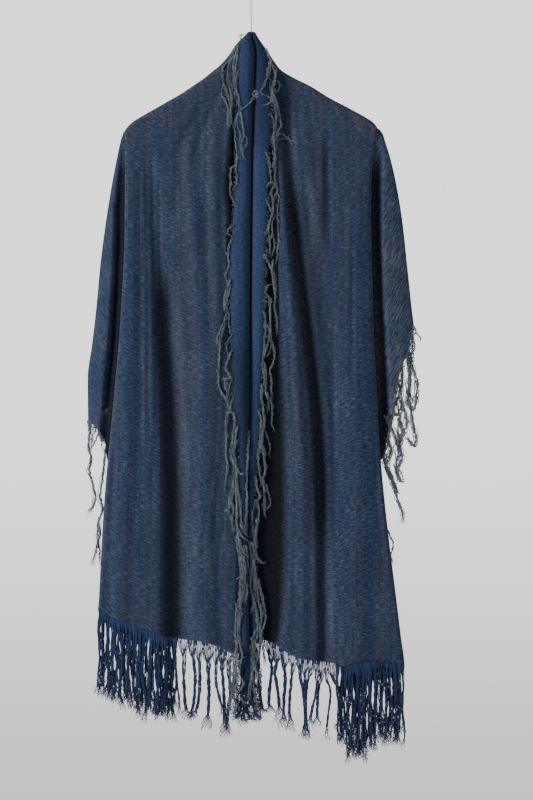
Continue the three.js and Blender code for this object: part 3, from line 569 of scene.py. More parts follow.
# Rust has marked the shoulders: broad stains on the left and short slanting streaks on the right. Each has
# its place, its half width and half height, and its strength.
rust_marks = [(-102, -176, 34, 10, 0.3), (-168, -214, 40, 9, 0.35), (-204, -246, 14, 18, 0.4),
              (-60, -150, 20, 8, 0.25), (76, -170, 3.5, 8, 0.6), (108, -187, 3, 11, 0.9),
              (142, -207, 3, 12, 0.9), (176, -226, 3.5, 16, 0.8), (186, -232, 3, 12, 0.6),
              (205, -244, 4, 12, 0.8)]
rust_slant = 0.55
thin_corner = (-236, -1040)


def word_of(sign):
    return "left" if sign < 0 else "right"


def front_y(x, z):
    """The depth of the fronts at a place, before their outer fold."""
    return front_depths(x, z)[0]


def front_depths(x, z):
    """The same, with the share of painted shade in the folds and in the hollow behind each lapel."""
    groove = level["groove"](z)
    hollow_x = np.where(x < groove, level["hollow_left"](z), level["hollow_right"](z))
    below = np.maximum(0, shoulder_z(x) - crown_radius - z)
    across = (x - groove) / (hollow_x - groove)
    hollow = smooth((1.12 - across) / 0.32) * fade_in(z, hollow_top, 75)
    hollow = hollow * np.where(x < groove, lerp(1, 0.25, fade_in(z, -480, 260)), 1)
    lift = fold_lift(front_folds, x, z, front_hem_level)
    # The painted shade follows the folds 6 mm to the right, so that it lies on the walls that face away from
    # the window.
    lift_for_painted_shade = fold_lift(front_folds, x + 6, z, front_hem_level)
    depth = -crown_radius - front_belly * smooth(below / belly_run)
    # Painted shade: the fold troughs and the hollow behind each lapel are darkened in colour.
    shade = 0.94 * np.clip(-lift_for_painted_shade / lift_for_full_shade, 0, 1) + hollow
    waves = ripple(x, z, lerp(0.45, 1, fade_in(z, -240, 240)))
    return depth + (hollow_depth * hollow - lift - waves) * smooth(below / 55), np.clip(shade, 0, 1)


def fold_curl(distance):
    """How far the cloth curls to the rear, near its outer fold."""
    inside = fold_radius - np.clip(distance, 0, fold_radius)
    return fold_radius - np.sqrt(fold_radius ** 2 - inside ** 2)


def curl_share(z):
    """The share of the full curl: a third at the shoulder and all of it a little below."""
    return lerp(0.35, 1, fade_in(z, shoulder_tip - crown_radius, 80))


def spot(x, z, middle_x, middle_z, wide, tall):
    """1 in the middle of a spot, fading softly round it."""
    return np.exp(-((x - middle_x) / wide) ** 2 - ((z - middle_z) / tall) ** 2)


def front_surface(sign):
    fold_x = level["fold_" + word_of(sign)]

    def tuck(z):
        """The right front's inner edge tucks behind the left lapel."""
        return fade_in(z, tuck_start, 20) * (0.5 + 0.5 * fade_in(z, tuck_top, 60)) * (sign > 0)

    def surface(u, v):
        def x_at(z):
            return lerp(fold_x(z), level["groove"](z) + sign * lapel_offset - tuck(z) * tuck_width, u)

        top, foot = column_ends(x_at, shoulder_z, hem_z)
        z = drop_z(top, foot, v)
        x = x_at(z)
        behind = tuck_depth * tuck(z) * smooth((level["groove"](z) + 8 - x) / 10)
        face, painted_shade = front_depths(x, z)
        face = face + fold_curl(np.abs(x - fold_x(z))) * curl_share(z) + behind
        rust = 0 * z
        for mark_x, mark_z, wide, tall, strength in rust_marks:
            slant = rust_slant * (z - mark_z) * (mark_x > 0)
            rust = rust + strength * spot(x + slant, z, mark_x, mark_z, wide, tall)
        thin = 0.4 * spot(x, z, *thin_corner, 13, 22)
        sag = (foot + 1100) * smooth((v - 0.5) * 2)
        sag = sag + 0.3 * np.abs(x) * (1 - 0.7 * fade_in(z, -500, 500))
        place = (x, crown_y(v, -seam_y(x), face), z)
        return place, (x, sag - z, 40 * sign), (painted_shade, thin, np.clip(rust, 0, 1))
    return surface


front_across = fine_first(0.03, 7, 98)
front_down = fine_first(crown_share, 9, 172)
for sign in (-1, 1):
    word = word_of(sign)
    piece = cloth(f"stole_front_{word}", front_surface(sign), front_across, front_down, -sign, indigo)
    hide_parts(f"front_{word}")

# ---- Side flaps ----
# Beyond each shoulder tip the cloth falls free in a deep valley and a rounded side, and ends in a slanting
# frayed edge. It hangs on the bias there, so its weave opens in slanting streaks.
side_tops = {-1: -244, 1: -239.5}
side_round = 10.5
side_round_drop = 8.5
side_least = 4.5
side_gap = 1.4
valley_reach = 22
side_thin = {-1: (0.6, -243, -650, 7, 60), 1: (0.2, 244, -540, 14, 80)}
brown_spot = (213, -610, 8, 120)
side_foot_rows = {
    -1: [(0, -798), (0.1, -793), (0.22, -771), (0.4, -755), (0.6, -745), (0.8, -736), (1, -729)],
    1: [(0, -798), (0.1, -789), (0.22, -755), (0.4, -698), (0.6, -647), (0.8, -613), (1, -570)]}
valley_rows = {
    -1: [(-257, 0), (-300, 4), (-400, 11), (-540, 13), (-700, 11), (-800, 8)],
    1: [(-257, 0), (-300, 6), (-400, 13), (-540, 15), (-700, 14), (-800, 9)]}


def rounded_top(z, top, drop, radius):
    """1 on the body of a piece, falling to 0 in a quarter round at its top."""
    return np.sqrt(np.clip(1 - np.maximum(0, (z - top + drop) / radius) ** 2, 0, 1))


def side_surface(sign):
    fold_x = level["fold_" + word_of(sign)]
    edge_x = level["side_" + word_of(sign)]
    foot_z = curve(side_foot_rows[sign])
    valley_y = curve(valley_rows[sign])
    back_foot = back_hem_z(fold_x(back_hem_level)) + 1
    side_top = side_tops[sign]

    def surface(u, v):
        turn = (u - 0.5) * np.pi
        share = np.cos(turn)
        foot = np.where(u > 0.5, lerp(back_foot, foot_z(1), share), foot_z(share))
        z = lerp(side_top, foot, v)
        cap = rounded_top(z, side_top, side_round_drop, side_round)
        fold = fold_x(z)
        width = np.maximum(side_least, np.abs(edge_x(z) - fold))
        width = width * np.sqrt(np.clip((side_top + 1 - z) / 10, 0, 1))
        front = front_y(fold, z) + fold_radius * curl_share(z) + side_gap
        valley_width = np.clip(valley_reach / np.maximum(width, 1), 0.36, 0.75)
        groove = np.where(u > 0.5, 0, bump(2 * share / valley_width - 1))
        x = fold + sign * (width * share + np.where(u > 0.5, 0.1, 1.5 * (share - 1) + 0.1))
        depth = lerp(front, back_y(fold, z), (1 + np.sin(turn)) / 2) * cap + valley_y(z) * groove
        depth = depth + ripple(width * share + z * 0.12, z, 1.2) * fade_in(z, side_top, 80)
        # Painted shade in the valley behind each front's fold, on the front half only.
        painted_shade = (1 - smooth((share / valley_width - 0.45) / 0.45)) * np.where(u < 0.5, 0.97, 0)
        painted_shade = np.clip(painted_shade * fade_in(z, -262, 60), 0, 1)
        strength, *thin_spot = side_thin[sign]
        thin = strength * spot(x, z, *thin_spot)
        brown = 0.4 * spot(x, z, *brown_spot) * (sign > 0)
        weave = (0.5 * width * share + 0.87 * z, 0.87 * width * share - 0.5 * z, 90 * sign)
        return (x, depth, z), weave, (painted_shade, thin * (u < 0.5), brown * (u < 0.5))
    return surface


# The paler slubs show the real bias streaks; the right flap's are paler still as painted light, since the
# window on the left lights that side little.
side_slubs = {-1: ((0.066, 0.098, 0.165), 0.6), 1: ((0.118, 0.150, 0.218), 0.66)}
side_down = fine_first(0.02, 8, 84)
for sign in (-1, 1):
    word = word_of(sign)
    slub, contrast = side_slubs[sign]
    recipe = woven((0.016, 0.033, 0.076), (0.034, 0.042, 0.074), slub, contrast, 0.5, 0.08)
    bias = finish_of(f"indigo_bias_{word}", recipe, **gauze)
    piece = cloth(f"stole_side_{word}", side_surface(sign), np.linspace(0, 1, 62), side_down, sign, bias)
    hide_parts(f"side_{word}")

# ---- Returns ----
# Below the side flaps the long edge turns in behind each front, and further in towards the hem's corner.
# The cloth's smoother, bluer reverse faces the rear here.
side_foot = -800
return_gap = 9
round_share = 0.3
return_rows = {-1: [(-800, -234), (-900, -208), (-1000, -168), (-1100, -128), (-1180, -118)],
               1: [(-800, 210), (-900, 205), (-1000, 188), (-1100, 165), (-1180, 149)]}
return_hem_z = curve([(-262, -1050), (-190, -1088), (-124, -1107), (149, -1179), (200, -1163), (222, -1149),
                      (262, -1145)])
reverse_weave = woven((0.016, 0.035, 0.092), (0.022, 0.038, 0.090), (0.050, 0.084, 0.175), 0.6, 0.35)
reverse = finish_of("indigo_reverse", reverse_weave, **gauze)


def return_surface(sign):
    fold_x = level["fold_" + word_of(sign)]
    edge_x = curve(return_rows[sign])

    def surface(u, v):
        turn = np.radians(lerp(6, 90, np.clip(u / round_share, 0, 1)))

        def inset(z):
            total = np.abs(edge_x(z) - fold_x(z))
            flat = lerp(fold_radius, total, (u - round_share) / (1 - round_share))
            return np.where(u < round_share, fold_radius * (1 - np.cos(turn)), flat)

        def x_at(z):
            return fold_x(z) - sign * inset(z)

        z = lerp(side_foot - 1.5, column_ends(x_at, shoulder_z, return_hem_z)[1], v)
        flat = lerp(2 * fold_radius, return_gap, smooth((inset(z) - fold_radius) / 40))
        apart = np.where(u < round_share, fold_radius * (1 + np.sin(turn)), flat)
        x = x_at(z)
        thin = 0.85 * spot(x, z, *thin_corner, 16, 26)
        return (x, front_y(x, z) + apart, z), (u * 140 - 500, -z, 130), (0, thin, 0)
    return surface


return_across = fine_first(round_share, 12, 36)
return_down = np.linspace(0, 1, 64)
for sign in (-1, 1):
    word = word_of(sign)
    piece = cloth(f"stole_return_{word}", return_surface(sign), return_across, return_down, sign, reverse)
    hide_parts(f"return_{word}")

# ---- Lapels ----
# Down the centre the other long edge is turned out over each front, so that the smooth reverse shows in a
# soft roll. Its raw edge lies on the front and sheds its yarns.
cloth_thickness = 1.2
lapel_top = -75.8
lapel_round = 11
lapel_turn = math.radians(128)
lapel_least = 8
lapel_rises = (6, 17)


def lapel_place(sign, u, z):
    """A place on a lapel, at a share of the way round its roll from the groove to its free edge."""
    start = level["groove"](z) + sign * lapel_offset
    width = np.maximum(lapel_least, np.abs(level["lapel_" + word_of(sign)](z) - start))
    turn = u * lapel_turn
    crown = rounded_top(z, lapel_top, lapel_round, lapel_round)
    x = start + sign * width * (1 - np.cos(turn)) / (1 - np.cos(lapel_turn)) * lerp(0.2, 1, crown)
    root = front_y(level["groove"](z) + sign * 2, z) - cloth_thickness - seam_gap
    rise = np.clip(0.5 * width, *lapel_rises) * np.sin(turn)
    return x, (root - rise + 0.6 * ripple(x * 2, z)) * crown, z


def lapel_surface(sign):
    foot = hem_z(level["lapel_" + word_of(sign)](-1100)) - 2

    def surface(u, v):
        z = lerp(lapel_top, foot, v)
        # Painted shade: darker near the groove between the lapels, near the top of the right lapel and low on
        # the left.
        shadow = 0.5 * (1 - fade_in(z, -190, 130)) if sign > 0 else 0.4 * fade_in(z, -540, 100)
        painted_shade = np.clip(0.9 * smooth(1 - u / 0.34) + shadow, 0, 1)
        return lapel_place(sign, u, z), (u * 60 + 40 * sign, -z, 170), (painted_shade, 0, 0)
    return surface


lapel_across = np.linspace(0, 1, 22)
lapel_down = fine_first(0.012, 9, 176)
for sign in (-1, 1):
    word = word_of(sign)
    piece = cloth(f"stole_lapel_{word}", lapel_surface(sign), lapel_across, lapel_down, sign, reverse)
    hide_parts(f"lapel_{word}")

# ---- Turned edge behind the neck ----
# The same turned edge carries on behind the neck, where the cloth's smooth reverse is folded outward over
# the crown of the shoulders and lies on the back.
collar_half = 40
collar_drop = 46
collar_lift = 3.6
collar_swell = 2


def collar_surface(u, v):
    x = lerp(-collar_half, collar_half, u)
    drop = collar_drop * v * lerp(1, 0.72, np.abs(x) / collar_half)
    z = shoulder_z(x) - crown_radius - 1 - drop
    lift = collar_lift + collar_swell * np.sin(v * np.pi)
    return (x, back_y(x, z) + lift, z), (x, -z, 210), (0, 0, 0)


collar = cloth("stole_collar", collar_surface, np.linspace(0, 1, 44), np.linspace(0, 1, 24), -1, reverse)
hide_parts("collar_back")

# ---- Hem fringe ----
# The warp ends hang free below both hems. They draw together in uneven twisted locks, which fray and
# tangle at their tips. They are the deepest blue, and double where the corner is folded under.

# The locks that hang apart, placed one by one: the number of yarns, where the roots begin and end along the
# hem, and the route below it.
left_locks = [
    (8, -121, -106, [(-113, -1119), (-113, -1166), (-111, -1200), (-108, -1228)]),
    (7, -104, -94, [(-97, -1124), (-94, -1158), (-96, -1200), (-104, -1231)]),
    (7, -94, -81, [(-87, -1127), (-86, -1166), (-89, -1203), (-97, -1228)]),
    (9, -81, -64, [(-72, -1132), (-71, -1166), (-71, -1200), (-74, -1245)]),
    (6, -64, -54, [(-59, -1136), (-59, -1166), (-54, -1191), (-45, -1226)]),
    (8, -54, -44, [(-49, -1139), (-47, -1169), (-45, -1206), (-44, -1258)]),
    (7, -44, -32, [(-39, -1139), (-35, -1183), (-39, -1220), (-40, -1255)]),
    (8, -22, -13, [(-17, -1139), (-13, -1166), (-15, -1193), (-18, -1216), (-25, -1230)]),
    (9, -13, -5, [(-8, -1139), (-10, -1166), (-8, -1196), (-12, -1216), (-13, -1240)]),
    (7, -18, -8, [(-12, -1146), (-17, -1183), (-10, -1203), (2, -1208), (12, -1210)]),
    (7, -12, -2, [(-8, -1146), (-5, -1183), (-15, -1203), (-24, -1213), (-20, -1226)])]
right_locks = [
    (8, 25, 37, [(35, -1129), (34, -1152), (30, -1196), (32, -1220)]),
    (8, 37, 49, [(42, -1132), (40, -1156), (45, -1186), (49, -1236)]),
    (9, 49, 64, [(55, -1136), (57, -1166), (55, -1203), (55, -1245)]),
    (7, 64, 77, [(69, -1142), (67, -1169), (64, -1210), (67, -1250)]),
    (7, 77, 86, [(81, -1149), (86, -1179), (91, -1216), (91, -1260)]),
    (7, 86, 96, [(89, -1152), (91, -1183), (91, -1216), (92, -1263)]),
    (6, 96, 106, [(97, -1152), (94, -1173), (91, -1206), (94, -1260)]),
    (6, 106, 114, [(111, -1156), (109, -1183), (102, -1216), (97, -1240)]),
    (6, 114, 124, [(116, -1159), (113, -1183), (111, -1213), (111, -1243)]),
    (4, 124, 129, [(126, -1159), (133, -1186), (129, -1226), (126, -1268)]),
    (8, 129, 144, [(141, -1163), (150, -1186), (151, -1226), (151, -1270)]),
    (7, -7, 0, [(-7, -1139), (-5, -1173), (-2, -1200), (7, -1213), (10, -1233)]),
    (7, 2, 8, [(2, -1139), (5, -1173), (0, -1200), (-8, -1213), (-2, -1223)]),
    (6, 8, 15, [(10, -1136), (13, -1173), (18, -1206), (20, -1220)])]
fringe_end_z = curve([
    (-262, -1178), (-246, -1197), (-225, -1202), (-196, -1213), (-182, -1228), (-128, -1232),
    (-106, -1236), (111, -1248), (148, -1262), (162, -1296), (184, -1298), (200, -1284), (217, -1274),
    (260, -1272)])
lock_widths = (3.5, 8)
yarn_pitch = 1.05
fibre_drop = 0.35

# The radius of a twisted lock of one to eight yarns, as a multiple of a yarn's own radius.
lock_rings = (0.2, 0.85, 1.1, 1.3, 1.5, 1.7, 1.9, 2.1)


def yarn_recipe(low, high, tip):
    """Yarn that varies from lock to lock between two shades, with paler fibres."""
    def recipe(dye):
        place = dye.node("TexCoord", {}, {}, output=3)
        fibre = place.stretch((1, 1, 0.25)).noise(1500, 2)
        lock = place.stretch((1, 1, 0.12)).noise(330, 2)
        shade = lock.between(0.35, 0.65).blend(low, high)
        return {"Base Color": (fibre.between(0.45, 0.8) * 0.5).blend(shade, tip),
                "Normal": fibre.relief(0.5, 0.0003)}
    return recipe


fringe_dye = yarn_recipe((0.008, 0.019, 0.060), (0.022, 0.050, 0.145), (0.07, 0.11, 0.22))
deep_blue = finish_of("fringe_yarn", fringe_dye, Roughness=0.9, Sheen_Weight=0.2, Specular_IOR_Level=0.15)


def waver(rng, count, steps, size, waves):
    """A crinkle for each yarn: a few sines with random lengths and starts."""
    t = np.linspace(0, 1, steps)
    total = np.zeros((count, steps))
    for wave in waves:
        lengths = rng.uniform(0.7, 1.3, (count, 1)) * wave
        starts = rng.uniform(0, 1, (count, 1))
        total += np.sin(2 * np.pi * (lengths * t + starts)) / len(waves)
    return total * size


def plied(path, yarns, rng, yarn=0.72, lay=13, loose=0.5, splay=1.0, roots=None, crimp=0.0, join=0.14):
    """Yarns twisted loosely together along a path, from their roots if given, and splaying at its tip."""
    length = np.linalg.norm(np.diff(path, axis=0), axis=1).sum()
    stride = 1.7 if crimp else 2.8
    steps = int(np.clip(length / stride, 7, 70))
    centre = along(path, steps)
    t = np.linspace(0, 1, steps)
    ring = yarn * lock_rings[min(yarns, len(lock_rings)) - 1]
    turn = 2 * np.pi * (np.arange(yarns)[:, None] / yarns + t * length / lay + rng.uniform())
    swell = ring * (1 + waver(rng, yarns, steps, 0.5, (1.5, 4))) * (1 + splay * smooth((t - 0.86) / 0.14))
    routes = np.repeat(centre[None], yarns, 0)
    routes[..., 0] += swell * np.cos(turn) + waver(rng, yarns, steps, loose, (length / 30, length / 11))
    routes[..., 1] += 0.8 * swell * np.sin(turn) + waver(rng, yarns, steps, loose, (length / 26,))
    if crimp:
        routes[..., 0] += waver(rng, yarns, steps, crimp, (length / 7, length / 5))
    routes[:, -1, 2] -= rng.uniform(-1, 5, yarns)
    if roots is not None:
        drawn = smooth(t / max(join, 13 / length))[None, :, None]
        routes = lerp(roots[:, None] + [0, 0, 1] * (routes - routes[:, :1]), routes, drawn)
    return routes, rng.uniform(0.8, 1.15, yarns) * yarn


def fluff(groups, rng, count, length, low=0.0, radius=0.17):
    """Fine stray fibres that curl away from the yarns of some groups, from a low share of their length on."""
    steps = 6
    picks = rng.integers(0, len(groups), count)
    shares = rng.uniform(low, 1, count)
    starts = []
    for pick, share in zip(picks, shares):
        routes = groups[pick][0]
        starts.append(routes[rng.integers(len(routes)), int(share * (routes.shape[1] - 1))])
    heading = rng.normal(0, 1, (count, 3)) * [1, 0.5, 0.8] - [0, 0, fibre_drop]
    bend = np.cumsum(rng.normal(0, 0.55, (count, steps, 3)) * [1, 0.6, 1], axis=1)
    stride = heading[:, None] + bend
    stride /= np.linalg.norm(stride, axis=2, keepdims=True)
    stride *= (rng.uniform(0.3, 1, count) * length / steps)[:, None, None]
    stride[:, 0] = 0
    return np.array(starts)[:, None] + np.cumsum(stride, axis=1), radius


def locks_below(surface, rng, shares, tip_z, rear, yarn=0.8):
    """Locks of a hem where they hang close, side by side, and moved to the rear by a given amount."""
    groups = []
    x, y, z = surface(np.linspace(*shares, 200), np.ones(200))[0]
    order = np.argsort(x)
    x, y, z = x[order], y[order], z[order]
    at = x[0]
    while at < x[-1] - 2:
        wide = min(rng.uniform(*lock_widths), x[-1] - at)
        yarns = max(3, int(round(wide / yarn_pitch)))
        roots_x = at + (np.arange(yarns) + 0.5) * wide / yarns
        roots = np.stack([roots_x, np.interp(roots_x, x, y) + rear, np.interp(roots_x, x, z)], 1)
        middle = at + wide / 2
        sway = rng.uniform(-3, 3, 4) * (1, 1.2, 1.5, 2)
        depth = np.interp(middle, x, y) + rear + rng.uniform(-2, 2)
        top = np.interp(middle, x, z)
        tip = tip_z(middle) + rng.uniform(-7, 9)
        path = np.full((5, 3), (middle, depth, top))
        path[1:, 0] += sway
        path[1:, 2] = lerp(top, tip, np.array([0.25, 0.55, 0.8, 1]))
        lay = rng.uniform(40, 90)
        join = rng.uniform(0.15, 0.4)
        groups.append(plied(path, yarns, rng, yarn, lay, loose=0.6, splay=2.2, roots=roots, join=join))
        at += wide
    return groups


def teeth(surface, rng, count):
    """The yarns' first stretch below a hem, before they draw together."""
    roots = np.stack(surface(np.sort(rng.uniform(0, 1, count)), np.ones(count))[0], 1)
    t = np.linspace(0, 1, 6)[None, :, None]
    aside = rng.uniform(-1.2, 1.2, count)
    forward = rng.uniform(-0.5, 0.5, count)
    lean = np.stack([aside, forward, -rng.uniform(4, 12, count)], 1)
    return roots[:, None] + lean[:, None] * t, 0.6


def locks_at(sign, table, rng):
    """The locks that hang apart, from their table. Their outer roots stand a little beyond its stretch."""
    groups = []
    for yarns, low, high, route in table:
        roots_x = lerp(low - 3, high + 3, (np.arange(yarns) + 0.5) / yarns)
        roots_z = hem_z(roots_x)
        roots = np.stack([roots_x, front_y(roots_x, roots_z) + cloth_thickness / 2, roots_z], 1)
        depth = roots[:, 1].mean()
        middle = (low + high) / 2
        path = [(middle, depth, hem_z(middle))] + [(x, depth + rng.uniform(-1, 1), z) for x, z in route]
        path = np.array(path, float)
        lay = rng.uniform(24, 50)
        groups.append(plied(path, yarns, rng, 0.98, lay, loose=0.5, splay=3.4, roots=roots, join=0.5))
    return groups


def tangle(rng, count):
    """Loose yarns at the foot of the centre, curled into one another."""
    groups = []
    for _ in range(count):
        x = rng.uniform(-30, 13)
        z = rng.uniform(-1165, -1120)
        foot = rng.uniform(-1238, -1195)
        y = front_y(x, z) - rng.uniform(-2, 4)
        path = [(x, y, z)]
        for share in (0.3, 0.55, 0.8, 1):
            aside = np.clip(x + rng.uniform(-9, 9), -34, 16)
            path.append((aside, y + rng.uniform(-3, 3), lerp(z, foot, share)))
        groups.append(plied(np.array(path), rng.integers(1, 3), rng, 0.75, loose=2.2, splay=2, crimp=0.7))
    return groups


# Each side has its locks that hang apart, the stretch of the hem where they hang close, and the yarn there.
for sign, table, dense, yarn in ((-1, left_locks, (0.002, 0.53), 0.86), (1, right_locks, (0.002, 0.44), 0.7)):
    word = word_of(sign)
    rng = np.random.default_rng(30 + sign)
    groups = locks_below(front_surface(sign), rng, dense, fringe_end_z, -0.8, yarn)
    groups += locks_below(front_surface(sign), rng, dense, lambda x: fringe_end_z(x) + 14, 2.2, yarn)
    groups += locks_at(sign, table, rng)
    groups += tangle(rng, count=26)
    groups.append(fluff(groups, rng, count=900, length=7, low=0.9, radius=0.42))
    groups.append(fluff(groups[:-1], rng, count=160, length=12, low=0.6, radius=0.2))
    groups.append(fluff(groups[:-2], rng, count=60, length=8, low=0.2))
    groups.append(teeth(front_surface(sign), rng, count=90))
    piece = spun(f"hem_locks_{word}", groups, deep_blue)
    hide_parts(f"hem_fringe_{word}")
    groups = locks_below(return_surface(sign), rng, (round_share, 0.995), lambda x: fringe_end_z(x) + 8, -0.6)
    groups.append(fluff(groups, rng, count=260, length=16, low=0.65, radius=0.26))
    piece = spun(f"return_locks_{word}", groups, deep_blue)
    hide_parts(f"return_fringe_{word}")

# ---- Frayed yarns of the lapels ----
# The raw edge has worn loose: greyer, crimped yarns hang from it in long loops and tangles, down the whole
# length of both lapels and thickest below.

# The frays, placed one by one: the number of yarns and the route that they share.
left_frays = [
    (2, [(-8, -94), (-13, -89), (-18, -91), (-17, -84), (-12, -82)]),
    (5, [(-24, -102), (-32, -116), (-37, -134), (-39, -155), (-35, -175), (-32, -192), (-34, -212),
        (-35, -228)]),
    (4, [(-29, -119), (-40, -129), (-49, -141), (-47, -158), (-42, -175), (-37, -192), (-34, -208),
        (-34, -225), (-37, -237)]),
    (3, [(-47, -165), (-49, -181), (-44, -193), (-39, -203), (-39, -222), (-39, -235)]),
    (4, [(-25, -111), (-29, -128), (-30, -144), (-29, -161), (-32, -178), (-34, -193)]),
    (3, [(-22, -101), (-24, -124), (-27, -150), (-25, -171), (-27, -185)]),
    (2, [(-22, -144), (-27, -165), (-24, -178), (-20, -192), (-20, -205)]),
    (3, [(-20, -212), (-24, -222), (-27, -235), (-27, -259), (-24, -276), (-24, -292), (-25, -306)]),
    (3, [(-17, -213), (-15, -228), (-13, -242), (-12, -252), (-15, -262), (-18, -267), (-15, -276),
        (-13, -286), (-10, -292)]),
    (2, [(-13, -250), (-7, -257), (-8, -267), (-13, -276)]),
    (2, [(-24, -222), (-22, -239), (-18, -250), (-18, -265)]),
    (3, [(-24, -301), (-32, -306), (-35, -318), (-34, -331), (-35, -343), (-34, -353), (-30, -361),
        (-25, -370)]),
    (2, [(-22, -284), (-25, -301), (-24, -318), (-25, -331), (-29, -344)]),
    (2, [(-29, -403), (-37, -408), (-40, -413), (-37, -418), (-30, -423)]),
    (3, [(-32, -427), (-37, -438), (-39, -452), (-37, -469), (-42, -486), (-39, -502), (-40, -519)]),
    (3, [(-35, -494), (-42, -511), (-44, -524), (-45, -536), (-44, -546)]),
    (4, [(-34, -504), (-39, -521), (-42, -536), (-40, -548), (-44, -561), (-49, -573), (-54, -583),
        (-57, -595), (-55, -605)]),
    (5, [(-44, -568), (-50, -586), (-52, -598), (-54, -623), (-54, -638), (-55, -654), (-54, -670),
        (-50, -682), (-44, -690), (-39, -699)]),
    (2, [(-37, -548), (-37, -570), (-34, -585)]),
    (2, [(-32, -586), (-40, -600), (-40, -615), (-35, -630)]),
    (3, [(-32, -612), (-39, -628), (-42, -642), (-37, -654), (-32, -664)]),
    (3, [(-47, -659), (-40, -660), (-32, -659)]),
    (3, [(-45, -662), (-42, -675), (-40, -687), (-39, -699), (-37, -712)]),
    (2, [(-32, -662), (-37, -675), (-37, -690)]),
    (3, [(-29, -689), (-34, -702), (-35, -714)]),
    (3, [(-27, -731), (-30, -719), (-35, -714), (-40, -721), (-42, -738), (-42, -763), (-42, -788),
        (-39, -806), (-42, -827), (-44, -848)]),
    (3, [(-27, -734), (-30, -754), (-34, -780), (-32, -796), (-25, -810), (-17, -820), (-12, -818)]),
    (5, [(-24, -739), (-27, -763), (-29, -783), (-27, -800), (-25, -813), (-25, -830), (-22, -847),
        (-20, -864), (-18, -880), (-17, -897), (-13, -917)]),
    (4, [(-32, -790), (-27, -810), (-29, -830), (-30, -847), (-32, -864), (-30, -880), (-32, -897),
        (-29, -916)]),
    (5, [(-24, -813), (-25, -847), (-24, -872), (-24, -897), (-22, -922), (-18, -944), (-18, -968)]),
    (2, [(-32, -847), (-37, -864), (-37, -874), (-42, -880), (-37, -882), (-35, -890), (-30, -904)]),
    (4, [(-20, -916), (-12, -927), (-5, -932), (2, -936), (10, -941)]),
    (2, [(-18, -904), (-10, -919), (-3, -926)]),
    (5, [(-24, -924), (-22, -948), (-18, -964), (-15, -978), (-13, -998), (-13, -1020)]),
    (4, [(-13, -939), (-12, -958), (-10, -978), (-10, -998), (-7, -1018), (-10, -1035)]),
    (5, [(-18, -958), (-17, -990), (-18, -1015), (-20, -1040), (-22, -1065), (-24, -1090), (-24, -1116),
        (-25, -1136), (-27, -1158), (-29, -1183), (-34, -1203), (-32, -1221)]),
    (4, [(-13, -1015), (-18, -1035), (-17, -1052), (-20, -1074), (-20, -1099), (-15, -1119), (-18, -1139),
        (-22, -1161)]),
    (3, [(-24, -995), (-18, -993), (-12, -996)]),
    (3, [(-25, -1035), (-25, -1057), (-27, -1082), (-25, -1107), (-29, -1132), (-30, -1152), (-29, -1174),
        (-22, -1184), (-15, -1176), (-13, -1168), (-18, -1161)]),
    (3, [(-25, -1116), (-34, -1127), (-35, -1146), (-34, -1166), (-30, -1184), (-37, -1200), (-34, -1216)]),
    (3, [(-20, -1119), (-29, -1121), (-37, -1129)]),
    (3, [(-22, -1132), (-25, -1152), (-24, -1173), (-29, -1193), (-25, -1211), (-30, -1228)]),
    (3, [(-29, -1139), (-24, -1159), (-32, -1176), (-27, -1196), (-20, -1215)])]
